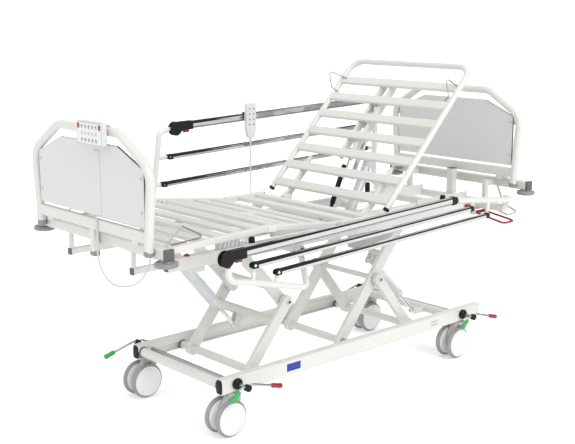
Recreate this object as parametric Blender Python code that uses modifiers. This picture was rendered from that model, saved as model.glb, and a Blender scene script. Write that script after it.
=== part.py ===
import math

import bmesh
import bpy
from mathutils import Matrix, Vector

# Hospital bed with scissor lift, folding side rails and a jointed platform.
# Metres, +Z up, x toward the head end, floor at z = 0, the photo's near side is -Y.

# Clearances shared by all fits
GAP = 0.0003
PIVOT_CLEAR = 0.0007
SIDE_CLEAR = 0.001

# Base and casters
WHEEL_R = 0.075
WHEEL_W = 0.030
WHEEL_GAP = 0.036
AXLE_R = 0.008
RAIL_Y = 0.2835
RAIL_W = 0.040
RAIL_H = 0.062
RAIL_Z = 2 * WHEEL_R + 0.051
RAIL_FOOT_X = -0.700
RAIL_HEAD_X = 0.893
FOOT_BRAKE_X = -0.630
HEAD_BRAKE_X = 0.757
BRAKE_Z = RAIL_Z + 0.004
CASTER_TRAIL = 0.040
STEM_R = 0.0127
END_TUBE_R = 0.020
PEDAL_Y = 0.372
PEDAL_ROD_R = 0.005

# Lift linkage
LIFT_BASE_Z = RAIL_Z - 0.011
LIFT_HALF_H = 0.252
LIFT_HALF_X = 0.202
HEAD_PIVOT_X = 0.482
FOOT_PIVOT_X = -0.470
ARM_T = 0.024
LONG_ARM_Y = 0.165
SHORT_ARM_Y = 0.200
FOOT_LOWER_Y = 0.192
FOOT_UPPER_Y = 0.160
BASE_SHAFT_R = 0.017
FRAME_SHAFT_R = 0.015
MID_SHAFT_R = 0.012
ROLLER_R = 0.0138

# Mid frame and platform, set from the height of the lift's top pivots
DECK_Z = LIFT_BASE_Z + 2 * LIFT_HALF_H
MID_Y = 0.240
MID_W = 0.030
MID_Z0 = DECK_Z - 0.009
MID_Z1 = MID_Z0 + 0.050
MID_FOOT_X = -0.905
EXTEND_Z0 = MID_Z0 + 0.010
MID_HEAD_X = 1.000
PLATFORM_Y = 0.365
TUBE = 0.025
SLAT_W = 0.045
SLAT_T = 0.018
HIP_X = -0.153
HIP_Z = DECK_Z + 0.0825
KNEE_X = -0.509
KNEE_Z = HIP_Z + 0.040
CALF_FOOT_X = -0.982
CALF_FOOT_Z = KNEE_Z - 0.0165
SECTION_PIN_R = 0.006
BACK_PIVOT_X = 0.120
BACK_PIVOT_Z = DECK_Z + 0.071
BACK_LOW_X = 0.146
BACK_LOW_Z = BACK_PIVOT_Z + 0.037
BACK_DEG = 46.3
BACK_LEN = 0.789
BACK_PIN_R = 0.010
RIB_OFF = -0.028

# Crossbars, boards, bumpers
BAR = 0.040
BAR_HALF = 0.4335
FOOT_BAR_X = CALF_FOOT_X - 0.0664
HEAD_BAR_X = 1.0484
BAR_Z1 = DECK_Z + 0.130
HOOP_R = 0.017
BUMPER_R = 0.043
BUMPER_Y = BAR_HALF - 0.0175
BUMPER_T = 0.018
PANEL_T = 0.012
BOARD_Z0 = BAR_Z1 - 0.022
FOOT_TOP_Z = BAR_Z1 + 0.384
HEAD_TOP_Z = BAR_Z1 + 0.421

# Side rails
RAIL_FOOT_PIVOT_X = -0.365
RAIL_FOOT_PIVOT_Z = DECK_Z + 0.018
RAIL_HEAD_PIVOT_X = 0.915
RAIL_HEAD_PIVOT_Z = DECK_Z + 0.063
RAIL_BAR_Y = 0.432
RAIL_HUB_Y = 0.379
RAIL_ARM_R = 0.0125
HEAD_ARM_R = 0.0138
STUB_R = 0.0095
RAIL_BAR_T = 0.021
RAIL_PIN_R = 0.006
TONGUE_T = 0.010
FORK_GAP = TONGUE_T + 2 * SIDE_CLEAR
FORK_DEPTH = 0.013
RAIL_FOLD_DEG = 85.0
TOP_BAR_H = 0.034
LOW_BAR_H = 0.021
GRIP_LEN = 0.085

# Free cords
CORD_R = 0.003

for old in list(bpy.data.objects):
    bpy.data.objects.remove(old, do_unlink=True)

bed = bpy.data.collections.new("Hospital bed")
tools = bpy.data.collections.new("Bed tools")
bpy.context.scene.collection.children.link(bed)
bpy.context.scene.collection.children.link(tools)


def material(name, color, rough, metal=0.0):
    made = bpy.data.materials.new(name)
    made.use_nodes = True
    shader = made.node_tree.nodes["Principled BSDF"]
    shader.inputs["Base Color"].default_value = (*color, 1.0)
    shader.inputs["Roughness"].default_value = rough
    shader.inputs["Metallic"].default_value = metal
    return made


CREAM = (0.80, 0.79, 0.74)
GREY = (0.28, 0.29, 0.31)
PALE = (0.60, 0.61, 0.62)
BLACK = (0.02, 0.02, 0.02)
SILVER = (0.72, 0.74, 0.76)
RED = (0.60, 0.03, 0.03)
WHITE = (0.85, 0.85, 0.85)


def piece(mesh):
    made = bpy.data.objects.new("tool", mesh)
    made.hide_render = True
    made.display_type = "WIRE"
    tools.objects.link(made)
    return made


def from_bmesh(bm, smooth_sides=False):
    bmesh.ops.recalc_face_normals(bm, faces=bm.faces)
    if smooth_sides:
        for face in bm.faces:
            face.smooth = len(face.verts) == 4
    mesh = bpy.data.meshes.new("tool")
    bm.to_mesh(mesh)
    bm.free()
    return piece(mesh)


def box(x0, x1, y0, y1, z0, z1):
    bm = bmesh.new()
    size = Matrix.Diagonal((x1 - x0, y1 - y0, z1 - z0, 1.0))
    place = Matrix.Translation(((x0 + x1) / 2, (y0 + y1) / 2, (z0 + z1) / 2))
    bmesh.ops.create_cube(bm, size=1.0, matrix=place @ size)
    return from_bmesh(bm)


def beam(p0, p1, y0, y1, height):
    # A box between two points of the x-z plane
    run = Vector((p1[0] - p0[0], 0.0, p1[1] - p0[1]))
    turn = Matrix.Rotation(-math.atan2(run.z, run.x), 4, "Y")
    size = Matrix.Diagonal((run.length, y1 - y0, height, 1.0))
    place = Matrix.Translation(((p0[0] + p1[0]) / 2, (y0 + y1) / 2, (p0[1] + p1[1]) / 2))
    bm = bmesh.new()
    bmesh.ops.create_cube(bm, size=1.0, matrix=place @ turn @ size)
    return from_bmesh(bm)


def rod(p0, p1, radius, sides=12):
    run = Vector(p1) - Vector(p0)
    turn = run.to_track_quat("Z", "Y").to_matrix().to_4x4()
    place = Matrix.Translation((Vector(p0) + Vector(p1)) / 2)
    bm = bmesh.new()
    bmesh.ops.create_cone(
        bm,
        cap_ends=True,
        segments=sides,
        radius1=radius,
        radius2=radius,
        depth=run.length,
        matrix=place @ turn,
    )
    return from_bmesh(bm, True)


def disc(x, z, y0, y1, radius, sides=10):
    # A cylinder along y
    return rod((x, y0, z), (x, y1, z), radius, sides)


def bore(x, z, y0, y1, radius):
    # A cutter along y whose flats stand clear of the pin that turns in it
    return disc(x, z, y0, y1, 1.016 * radius, 12)


def lathe(profile, centre, sides):
    # Profile of (y, radius) pairs turned about a line along y through centre
    bm = bmesh.new()
    verts = [bm.verts.new((0.0, y, r)) for y, r in profile]
    edges = [bm.edges.new(pair) for pair in zip(verts, verts[1:])]
    bmesh.ops.spin(
        bm, geom=verts + edges, cent=(0, 0, 0), axis=(0, 1, 0), angle=2 * math.pi, steps=sides, use_merge=True
    )
    bmesh.ops.remove_doubles(bm, verts=bm.verts, dist=1e-6)
    bmesh.ops.translate(bm, verts=bm.verts, vec=centre)
    return from_bmesh(bm, True)


def curve_mesh(curve):
    holder = bpy.data.objects.new("curve", curve)
    tools.objects.link(holder)
    graph = bpy.context.evaluated_depsgraph_get()
    mesh = bpy.data.meshes.new_from_object(holder.evaluated_get(graph))
    bpy.data.objects.remove(holder, do_unlink=True)
    bm = bmesh.new()
    bm.from_mesh(mesh)
    bmesh.ops.remove_doubles(bm, verts=bm.verts, dist=1e-6)
    return bm


def tube(points, radius, resolution=2):
    curve = bpy.data.curves.new("path", "CURVE")
    curve.dimensions = "3D"
    curve.bevel_depth = radius
    curve.bevel_resolution = resolution
    curve.use_fill_caps = True
    line = curve.splines.new("POLY")
    line.points.add(len(points) - 1)
    for point, place in zip(line.points, points):
        point.co = (*place, 1.0)
    return from_bmesh(curve_mesh(curve), True)


def plate(outline, depth, plane, offset):
    # A flat plate from a closed outline, in the x-z plane or the y-z plane
    curve = bpy.data.curves.new("outline", "CURVE")
    curve.dimensions = "2D"
    curve.fill_mode = "BOTH"
    curve.extrude = depth / 2
    line = curve.splines.new("POLY")
    line.points.add(len(outline) - 1)
    for point, place in zip(line.points, outline):
        point.co = (place[0], place[1], 0.0, 1.0)
    line.use_cyclic_u = True
    bm = curve_mesh(curve)
    if plane == "xz":
        turn = Matrix(((1, 0, 0, 0), (0, 0, -1, offset), (0, 1, 0, 0), (0, 0, 0, 1)))
    else:
        turn = Matrix(((0, 0, 1, offset), (1, 0, 0, 0), (0, 1, 0, 0), (0, 0, 0, 1)))
    bmesh.ops.transform(bm, matrix=turn, verts=bm.verts)
    return from_bmesh(bm)


def strip(points, width):
    # Outline of an even strip along a bent line
    sides = ([], [])
    for index, at in enumerate(points):
        before = Vector(points[max(index - 1, 0)])
        after = Vector(points[min(index + 1, len(points) - 1)])
        into = (Vector(at) - before) if index else (after - Vector(at))
        away = (after - Vector(at)) if index < len(points) - 1 else into
        normal = into.orthogonal().normalized() + away.orthogonal().normalized()
        normal.normalize()
        reach = width / 2 / max(normal.dot(into.orthogonal().normalized()), 0.5)
        sides[0].append(tuple(Vector(at) + normal * reach))
        sides[1].append(tuple(Vector(at) - normal * reach))
    return sides[0] + sides[1][::-1]


def rounded(points, radius, steps=4):
    # Rounds the inner corners of a path with arcs
    path = [Vector(points[0])]
    for before, at, after in zip(points, points[1:], points[2:]):
        corner = Vector(at)
        back = (Vector(before) - corner)
        ahead = (Vector(after) - corner)
        half = back.angle(ahead) / 2
        reach = min(radius / math.tan(half), 0.48 * back.length, 0.48 * ahead.length)
        round_r = reach * math.tan(half)
        middle = (back.normalized() + ahead.normalized()).normalized()
        centre = corner + middle * (round_r / math.sin(half))
        start = corner + back.normalized() * reach - centre
        end = corner + ahead.normalized() * reach - centre
        for step in range(steps + 1):
            path.append(centre + start.slerp(end, step / steps).normalized() * round_r)
    path.append(Vector(points[-1]))
    return [tuple(place) for place in path]


def node(name, look, pieces, holes=(), origin=None):
    # One body: the first piece united with the others, less the holes
    body = pieces[0]
    body.name = name
    body.data.name = name
    tools.objects.unlink(body)
    bed.objects.link(body)
    body.hide_render = False
    body.display_type = "TEXTURED"
    body.data.materials.clear()
    body.data.materials.append(look)
    for kind, others in (("UNION", pieces[1:]), ("DIFFERENCE", holes)):
        for other in others:
            other.name = name + " " + kind.lower()
            cut = body.modifiers.new(kind.lower(), "BOOLEAN")
            cut.operation = kind
            cut.solver = "EXACT"
            cut.object = other
    if origin is not None:
        body.data.transform(Matrix.Translation(-Vector(origin)))
        body.location = origin
    return body


def unit(p0, p1):
    run = Vector((p1[0] - p0[0], p1[1] - p0[1]))
    return run.normalized(), run.length


def along(p0, way, dist):
    return (p0[0] + way[0] * dist, p0[1] + way[1] * dist)


ENDS = (("foot", FOOT_BRAKE_X), ("head", HEAD_BRAKE_X))
SIDES = (("near", -1), ("far", 1))


# Base frame: rails with an inner roller channel, end tubes and pivot shafts
def build_base():
    z0 = RAIL_Z - RAIL_H / 2
    z1 = RAIL_Z + RAIL_H / 2
    inner = RAIL_Y - RAIL_W / 2
    rails = []
    channels = []
    roller_lo = HEAD_PIVOT_X - 2 * math.hypot(LIFT_HALF_X, LIFT_HALF_H) - 0.01
    for name, side in SIDES:
        y0, y1 = sorted((side * inner, side * (inner + RAIL_W)))
        rails.append(box(RAIL_FOOT_X, RAIL_HEAD_X, y0, y1, z0, z1))
        y0, y1 = sorted((side * (inner - 0.002), side * (inner + 0.0125)))
        height = ROLLER_R + PIVOT_CLEAR
        channels.append(box(roller_lo, 0.150, y0, y1, LIFT_BASE_Z - height, LIFT_BASE_Z + height))
    reach = inner + 0.003
    joints = [
        disc(FOOT_BRAKE_X - 0.046, RAIL_Z, -reach, reach, END_TUBE_R, 14),
        disc(HEAD_BRAKE_X - 0.042, RAIL_Z, -reach, reach, END_TUBE_R, 14),
        disc(FOOT_PIVOT_X, LIFT_BASE_Z, -reach, reach, BASE_SHAFT_R),
        disc(HEAD_PIVOT_X, LIFT_BASE_Z, -reach, reach, BASE_SHAFT_R),
    ]
    tube_x = HEAD_BRAKE_X - 0.042
    for y in (HEAD_CYL_Y - LUG_OUT, HEAD_CYL_Y + LUG_IN):
        joints.append(beam((tube_x, RAIL_Z), HEAD_CYL_BASE, y, y + LUG_OUT - LUG_IN, 0.030))
        joints.append(disc(*HEAD_CYL_BASE, y, y + LUG_OUT - LUG_IN, 0.0151))
    joints.append(disc(*HEAD_CYL_BASE, HEAD_CYL_Y - LUG_OUT - 0.002, HEAD_CYL_Y + LUG_OUT + 0.002, LUG_PIN_R))
    holes = channels
    for end, x in ENDS:
        holes.append(disc(x, BRAKE_Z, -0.33, 0.33, HEX_R + 0.002))
        for name, side in SIDES:
            low = (x, side * RAIL_Y, z0 - 0.01)
            high = (x, side * RAIL_Y, z0 + 0.0165)
            holes.append(rod(low, high, STEM_R + PIVOT_CLEAR, 16))
    node("base_frame", material("Base cream paint", CREAM, 0.45), rails + joints, holes)


def build_casters():
    z0 = RAIL_Z - RAIL_H / 2
    tyre = material("Wheel white", WHITE, 0.4)
    fork = material("Caster grey", PALE, 0.4)
    half = WHEEL_GAP / 2
    out = half + WHEEL_W
    profile = [(-out, 0.0), (-out, WHEEL_R - 0.009), (-out + 0.006, WHEEL_R), (-half - 0.003, WHEEL_R)]
    profile += [(-half, WHEEL_R - 0.005), (-half, AXLE_R)]
    profile += [(-y, r) for y, r in reversed(profile)]
    for end, x in ENDS:
        for name, side in SIDES:
            y = side * RAIL_Y
            axle = (x - CASTER_TRAIL, y, WHEEL_R)
            ax = axle[0]
            outline = [(x + 0.024, z0 - 0.010), (x + 0.024, z0 - 0.040)]
            outline += [(ax + 0.026, WHEEL_R - 0.013), (ax + 0.012, WHEEL_R - 0.025)]
            outline += [(ax - 0.014, WHEEL_R - 0.023), (ax - 0.024, WHEEL_R - 0.003)]
            outline += [(ax - 0.022, WHEEL_R + 0.040), (x - 0.030, z0 - 0.010)]
            body = plate(outline, WHEEL_GAP - 4 * SIDE_CLEAR, "xz", y)
            cap = rod((x, y, z0 - 0.017), (x, y, z0 - 0.0008), 0.030)
            stem = rod((x, y, z0 - 0.010), (x, y, z0 + 0.0155), STEM_R)
            hole = bore(ax, WHEEL_R, y - 0.04, y + 0.04, AXLE_R + PIVOT_CLEAR)
            node(f"caster_fork_{end}_{name}", fork, [body, cap, stem], [hole], (x, y, z0))
            node(f"caster_wheels_{end}_{name}", tyre, [lathe(profile, axle, 20)], (), axle)


HEX_R = 0.008
LUG_IN = 0.0100
LUG_OUT = 0.0180
LUG_PIN_R = 0.006


# Brake bars: hexagon bar through both rails, hubs, bent pedals with grips
def build_brakes():
    look = material("Brake steel", SILVER, 0.3, 0.8)
    for end, x in ENDS:
        bar = disc(x, BRAKE_Z, -PEDAL_Y - 0.007, PEDAL_Y + 0.007, HEX_R, 6)
        pieces = [bar]
        rail_out = RAIL_Y + RAIL_W / 2
        for name, side in SIDES:
            y0, y1 = sorted((side * (rail_out + PIVOT_CLEAR), side * (rail_out + 0.020)))
            pieces.append(disc(x, BRAKE_Z, y0, y1, 0.022, 12))
            y0, y1 = sorted((side * (PEDAL_Y - 0.010), side * (PEDAL_Y + 0.010)))
            pieces.append(disc(x, BRAKE_Z, y0, y1, 0.014, 12))
            lead = -side
            y = side * PEDAL_Y
            for way, reach, drop in ((lead, 0.165, 0.030), (-lead, 0.085, 0.034)):
                top = (x + way * 0.022, y, BRAKE_Z + 0.010)
                tip = Vector((x + way * reach, y + side * 0.006, BRAKE_Z - drop))
                back = (Vector(top) - tip).normalized()
                pieces.append(tube([(x, y, BRAKE_Z), top, tuple(tip + back * 0.01)], PEDAL_ROD_R, 1))
                pieces.append(rod(tuple(tip + back * 0.050), tuple(tip), 0.0105, 10))
        node(f"brake_bar_{end}", look, pieces, (), (x, 0, BRAKE_Z))


MID_PIVOT = (HEAD_PIVOT_X - LIFT_HALF_X, LIFT_BASE_Z + LIFT_HALF_H)
HEAD_TOP = (HEAD_PIVOT_X, LIFT_BASE_Z + 2 * LIFT_HALF_H)
HEAD_ROLLER = (HEAD_PIVOT_X - 2 * LIFT_HALF_X, LIFT_BASE_Z)
KNEE_PIVOT = (FOOT_PIVOT_X + LIFT_HALF_X, LIFT_BASE_Z + LIFT_HALF_H)
FOOT_TOP = (FOOT_PIVOT_X, LIFT_BASE_Z + 2 * LIFT_HALF_H)
HEAD_CYL_Y = -0.100
HEAD_CYL_BASE = (0.640, RAIL_Z)
HEAD_CYL_ARM = (MID_PIVOT[0] + 0.050, MID_PIVOT[1] + 0.058)
FOOT_CYL_Y = 0.045
FOOT_CYL_FRAME = (-0.680, MID_Z0 - 0.005)
FOOT_CYL_ARM = (KNEE_PIVOT[0] - 0.084, KNEE_PIVOT[1] - 0.140)


def lug_pair(start, pin, y, width, inner=LUG_IN):
    # Two cheeks with a pin between them
    made = []
    outer = inner + LUG_OUT - LUG_IN
    for low in (y - outer, y + inner):
        made.append(beam(start, pin, low, low + outer - inner, width))
        made.append(disc(*pin, low, low + outer - inner, width / 2 + 0.0006, 14))
    made.append(disc(*pin, y - outer - 0.002, y + outer + 0.002, LUG_PIN_R))
    return made


def arm_pair(p0, p1, y, width, start_r, end_r):
    made = []
    for name, side in SIDES:
        y0 = side * y - ARM_T / 2
        y1 = side * y + ARM_T / 2
        made.append(beam(p0, p1, y0, y1, width))
        made.append(disc(*p0, y0 - 0.001, y1 + 0.001, start_r, 16))
        made.append(disc(*p1, y0 - 0.001, y1 + 0.001, end_r, 16))
    return made


# Lift linkage: every arm pair is one body joined by its cross shafts
def build_lift():
    paint = material("Arm cream paint", CREAM, 0.45)
    low = (HEAD_PIVOT_X, LIFT_BASE_Z)
    arms = arm_pair(low, MID_PIVOT, SHORT_ARM_Y, 0.045, 0.029, 0.0245)
    arms.append(disc(*MID_PIVOT, -SHORT_ARM_Y - 0.018, SHORT_ARM_Y + 0.018, MID_SHAFT_R))
    hole = bore(*low, -0.24, 0.24, BASE_SHAFT_R + PIVOT_CLEAR)
    node("head_short_arms", paint, arms, [hole], (low[0], 0, low[1]))

    arms = arm_pair(HEAD_ROLLER, HEAD_TOP, LONG_ARM_Y, 0.055, 0.0290, 0.0290)
    arms.append(disc(*HEAD_ROLLER, -LONG_ARM_Y, LONG_ARM_Y, 0.017, 14))
    groove = RAIL_Y - RAIL_W / 2 + 0.0125
    for name, side in SIDES:
        y0, y1 = sorted((side * LONG_ARM_Y, side * (groove - SIDE_CLEAR)))
        arms.append(disc(*HEAD_ROLLER, y0, y1, ROLLER_R))
    torque = along(MID_PIVOT, unit(HEAD_ROLLER, HEAD_TOP)[0], 0.119)
    arms.append(disc(*torque, -LONG_ARM_Y, HEAD_CYL_Y + LUG_OUT + 0.002, BASE_SHAFT_R))
    arms += lug_pair(torque, HEAD_CYL_ARM, HEAD_CYL_Y, 0.030)
    bores = [
        bore(*MID_PIVOT, -0.24, 0.24, MID_SHAFT_R + PIVOT_CLEAR),
        bore(*HEAD_TOP, -0.24, 0.24, FRAME_SHAFT_R + PIVOT_CLEAR),
    ]
    node("head_long_arms", paint, arms, bores, (MID_PIVOT[0], 0, MID_PIVOT[1]))

    low = (FOOT_PIVOT_X, LIFT_BASE_Z)
    arms = arm_pair(low, KNEE_PIVOT, FOOT_LOWER_Y, 0.050, 0.0292, 0.0268)
    torque = along(low, unit(low, KNEE_PIVOT)[0], 0.7 * math.hypot(LIFT_HALF_X, LIFT_HALF_H))
    arms.append(disc(*torque, -FOOT_LOWER_Y, FOOT_LOWER_Y, 0.020, 14))
    arms += lug_pair(torque, FOOT_CYL_ARM, FOOT_CYL_Y, 0.032)
    inner = FOOT_UPPER_Y - ARM_T / 2 - 0.003
    for name, side in SIDES:
        y0, y1 = sorted((side * inner, side * (FOOT_LOWER_Y + 0.018)))
        arms.append(disc(*KNEE_PIVOT, y0, y1, MID_SHAFT_R))
    hole = bore(*low, -0.24, 0.24, BASE_SHAFT_R + PIVOT_CLEAR)
    node("foot_lower_arms", paint, arms, [hole], (low[0], 0, low[1]))

    shape = [FOOT_TOP, (FOOT_TOP[0] + 0.020, FOOT_TOP[1] - 0.064), (FOOT_TOP[0] + 0.086, FOOT_TOP[1] - 0.124)]
    shape.append(KNEE_PIVOT)
    arms = []
    for name, side in SIDES:
        y0 = side * FOOT_UPPER_Y - ARM_T / 2
        y1 = side * FOOT_UPPER_Y + ARM_T / 2
        arms.append(plate(strip(shape, 0.046), ARM_T, "xz", side * FOOT_UPPER_Y))
        arms.append(disc(*FOOT_TOP, y0 - 0.0005, y1 + 0.0005, 0.0285, 16))
        arms.append(disc(*KNEE_PIVOT, y0 - 0.0005, y1 + 0.0005, 0.0255, 16))
    tie = along(KNEE_PIVOT, unit(KNEE_PIVOT, shape[2])[0], 0.090)
    arms.append(disc(*tie, -FOOT_UPPER_Y, FOOT_UPPER_Y, 0.015, 14))
    bores = [
        bore(*KNEE_PIVOT, -0.24, 0.24, MID_SHAFT_R + PIVOT_CLEAR),
        bore(*FOOT_TOP, -0.24, 0.24, FRAME_SHAFT_R + PIVOT_CLEAR),
    ]
    node("foot_upper_arms", paint, arms, bores, (KNEE_PIVOT[0], 0, KNEE_PIVOT[1]))


def cylinder(name, y, barrel_pin, rod_pin, barrel, shaft, looks, rod_y=None, inner=LUG_IN, start=0.030):
    # A barrel (radius, bore, end) on one pin and a rod (radius, length) on the other;
    # rod_y sets the rod beside the barrel
    barrel_r, bore_r, barrel_to = barrel
    rod_r, rod_len = shaft
    way, length = unit(barrel_pin, rod_pin)
    eye = inner - SIDE_CLEAR

    def at(dist, side):
        place = along(barrel_pin, way, dist)
        return (place[0], side, place[1])

    pieces = [
        rod(at(start, y), at(barrel_to, y), barrel_r, 16),
        rod(at(0.004, y), at(start + 0.004, y), 0.0085, 12),
        disc(*barrel_pin, y - eye, y + eye, 0.0135),
    ]
    holes = [bore(*barrel_pin, y - 0.04, y + 0.04, LUG_PIN_R + PIVOT_CLEAR)]
    if bore_r:
        holes.append(rod(at(start + 0.03, y), at(barrel_to + 0.01, y), bore_r, 16))
    node(name, looks[0], pieces, holes, (barrel_pin[0], y, barrel_pin[1]))
    side = y if rod_y is None else rod_y
    eye = LUG_IN - SIDE_CLEAR
    pieces = [
        rod(at(length - rod_len, side), at(length - 0.005, side), rod_r, 12),
        disc(*rod_pin, side - eye, side + eye, 0.0125),
    ]
    holes = [bore(*rod_pin, side - 0.04, side + 0.04, LUG_PIN_R + PIVOT_CLEAR)]
    node(name + "_rod", looks[1], pieces, holes, (rod_pin[0], side, rod_pin[1]))


BACK_WAY = (math.cos(math.radians(BACK_DEG)), math.sin(math.radians(BACK_DEG)))


def back_at(s, off):
    x = BACK_LOW_X + BACK_WAY[0] * s - BACK_WAY[1] * off
    z = BACK_LOW_Z + BACK_WAY[1] * s + BACK_WAY[0] * off
    return (x, z)


BACK_ACT_Y = 0.0
BACK_ACT_R = 0.022
BACK_ACT_TO = 0.345
BACK_ROD_Y = 0.064
BACK_ACT_FRAME = (0.260, MID_Z0 - 0.045)
BACK_ACT_BACK = back_at(0.540, RIB_OFF)
GAS_Y = 0.131
GAS_ROD_Y = 0.112
GAS_TO = 0.225
GAS_ROD = 0.305
GAS_FRAME = (0.300, MID_Z0 + 0.020)
GAS_BACK = back_at(0.470, RIB_OFF)
THIGH_ACT_Y = -0.040
THIGH_ACT_FRAME = (0.050, MID_Z0 + 0.015)
THIGH_ACT_PIN = (-0.360, MID_Z0 + 0.015)


def build_actuators():
    pale = material("Cylinder blue grey", (0.62, 0.67, 0.72), 0.35, 0.3)
    chrome = material("Chrome rod", SILVER, 0.15, 1.0)
    black = material("Gas spring black", BLACK, 0.4)
    grey = material("Actuator grey", PALE, 0.5)
    looks = (pale, chrome)
    barrel = (0.025, 0.0215, 0.345)
    cylinder("foot_cylinder", FOOT_CYL_Y, FOOT_CYL_FRAME, FOOT_CYL_ARM, barrel, (0.008, 0.300), looks)
    barrel = (0.022, 0.0180, 0.290)
    shaft = (0.008, 0.225)
    cylinder("head_cylinder", HEAD_CYL_Y, HEAD_CYL_ARM, HEAD_CYL_BASE, barrel, shaft, looks, start=0.060)
    cylinder(
        "back_actuator",
        BACK_ACT_Y,
        BACK_ACT_FRAME,
        BACK_ACT_BACK,
        (BACK_ACT_R, 0, BACK_ACT_TO),
        (0.013, 0.360),
        looks,
        BACK_ROD_Y,
        BACK_ACT_R + 0.002,
    )
    barrel = (0.012, 0, GAS_TO)
    cylinder("gas_spring", GAS_Y, GAS_FRAME, GAS_BACK, barrel, (0.005, GAS_ROD), (black, chrome), GAS_ROD_Y)
    barrel = (0.019, 0.0135, 0.270)
    looks = (grey, chrome)
    cylinder("thigh_actuator", THIGH_ACT_Y, THIGH_ACT_FRAME, THIGH_ACT_PIN, barrel, (0.008, 0.250), looks)


# Mid frame: longitudinals, cross tubes, outriggers for the side rails, lugs and stubs
def build_mid_frame():
    pieces = []
    inner = MID_Y - MID_W / 2
    outer = MID_Y + MID_W / 2
    cross_z0 = MID_Z0 + 0.010
    cross_z1 = MID_Z1 - 0.010
    for x0, x1 in ((0.080, 0.120), (0.203, 0.243), (0.760, 0.800), (0.957, 0.997)):
        pieces.append(box(x0, x1, -MID_Y, MID_Y, cross_z0, cross_z1))
    pieces.append(box(-0.765, -0.725, -MID_Y, MID_Y, MID_Z0 - 0.025, EXTEND_Z0 - GAP))
    for name, side in SIDES:

        def slab(x0, x1, near, far, z0, z1):
            y0, y1 = sorted((side * near, side * far))
            pieces.append(box(x0, x1, y0, y1, z0, z1))

        def stub(place, near, far, radius):
            y0, y1 = sorted((side * near, side * far))
            pieces.append(disc(*place, y0, y1, radius))

        slab(MID_FOOT_X, MID_HEAD_X, inner, outer, MID_Z0, MID_Z1)
        stub(HEAD_TOP, LONG_ARM_Y - ARM_T / 2 - 0.005, MID_Y, FRAME_SHAFT_R)
        stub(FOOT_TOP, FOOT_UPPER_Y - ARM_T / 2 - 0.005, MID_Y, FRAME_SHAFT_R)
        hub_in = RAIL_HUB_Y - RAIL_ARM_R
        pivot = (RAIL_FOOT_PIVOT_X, RAIL_FOOT_PIVOT_Z)
        z0, z1 = pivot[1] - 0.0151, pivot[1] + 0.0151
        slab(pivot[0] - 0.020, pivot[0] + 0.020, MID_Y, hub_in - SIDE_CLEAR, z0, z1)
        stub(pivot, hub_in - 0.010, RAIL_HUB_Y + RAIL_ARM_R, 0.010)
        pivot = (RAIL_HEAD_PIVOT_X, RAIL_HEAD_PIVOT_Z)
        arm_in = RAIL_BAR_Y - HEAD_ARM_R
        slab(pivot[0] - 0.020, pivot[0] + 0.020, MID_Y, arm_in - 0.004, MID_Z0 + 0.012, MID_Z0 + 0.042)
        z0, z1 = MID_Z0 + 0.015, pivot[1] + 0.018
        slab(pivot[0] - 0.018, pivot[0] + 0.018, arm_in - 0.012, arm_in - 0.0025, z0, z1)
        stub(pivot, arm_in - 0.008, RAIL_BAR_Y + HEAD_ARM_R + 0.0012, 0.010)
        z0, z1 = MID_Z1 - 0.005, BACK_PIVOT_Z + 0.022
        slab(BACK_PIVOT_X - 0.025, BACK_PIVOT_X + 0.025, inner - 0.001, MID_Y + 0.004, z0, z1)
        stub((BACK_PIVOT_X, BACK_PIVOT_Z), MID_Y, MID_Y + 0.0265, BACK_PIN_R)
        for x in (-0.050, 0.055):
            slab(x - 0.018, x + 0.018, MID_Y - 0.012, MID_Y + 0.012, MID_Z1 - 0.004, HIP_Z - TUBE / 2 - GAP)
        slab(0.600, 0.970, 0.135, 0.145, MID_Z0 + 0.015, MID_Z0 + 0.067)
        slab(0.974, 0.999, MID_Y - 0.012, MID_Y + 0.012, MID_Z0 + 0.015, BAR_Z1 - 0.004)
        slab(0.976, HEAD_BAR_X - GAP, MID_Y - 0.010, MID_Y + 0.010, BAR_Z1 - 0.036, BAR_Z1 - 0.007)
    pieces += lug_pair((-0.740, MID_Z0 - 0.009), FOOT_CYL_FRAME, FOOT_CYL_Y, 0.032)
    pieces += lug_pair((0.100, MID_Z0 + 0.025), THIGH_ACT_FRAME, THIGH_ACT_Y, 0.028)
    pieces += lug_pair((0.222, MID_Z0 + 0.023), BACK_ACT_FRAME, BACK_ACT_Y, 0.030, BACK_ACT_R + 0.002)
    pieces.append(beam((0.222, MID_Z0 + 0.026), GAS_FRAME, GAS_Y - 0.0205, GAS_Y - LUG_IN, 0.026))
    pieces.append(disc(*GAS_FRAME, GAS_Y - 0.0200, GAS_Y + 0.0095, LUG_PIN_R))
    pieces.append(box(0.215, 0.790, -0.066, -0.046, MID_Z0 + 0.005, MID_Z0 + 0.033))
    pieces.append(box(0.370, 0.450, -0.064, -0.048, CONTROL_TOP + GAP, MID_Z0 + 0.015))
    pieces.append(box(0.975, 1.010, -0.047, -0.007, MID_Z0 + 0.017, BAR_Z1 + 0.026))
    lever_y, lever_z = CPR_AXIS
    for x in CPR_ENDS:
        z0, z1 = lever_z - 0.010, MID_Z0 + 0.020
        pieces.append(box(x - 0.0035, x + 0.0035, lever_y - 0.011, 0.005 - outer, z0, z1))
    pieces.append(rod((CPR_ENDS[0], *CPR_AXIS), (CPR_ENDS[1], *CPR_AXIS), CPR_PIN_R, 10))
    node("mid_frame", material("Frame cream paint", CREAM, 0.45), pieces)
    case = box(0.335, 0.495, -0.070, 0.050, CONTROL_TOP - 0.090, CONTROL_TOP)
    soft = case.modifiers.new("bevel", "BEVEL")
    soft.width = 0.006
    soft.segments = 2
    node("control_box", material("Control box grey", PALE, 0.5), [case])


CONTROL_TOP = MID_Z0 - 0.057
CPR_AXIS = (-MID_Y - 0.029, MID_Z0 - 0.008)
CPR_ENDS = (0.864, 0.960)
CPR_PIN_R = 0.004


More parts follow.
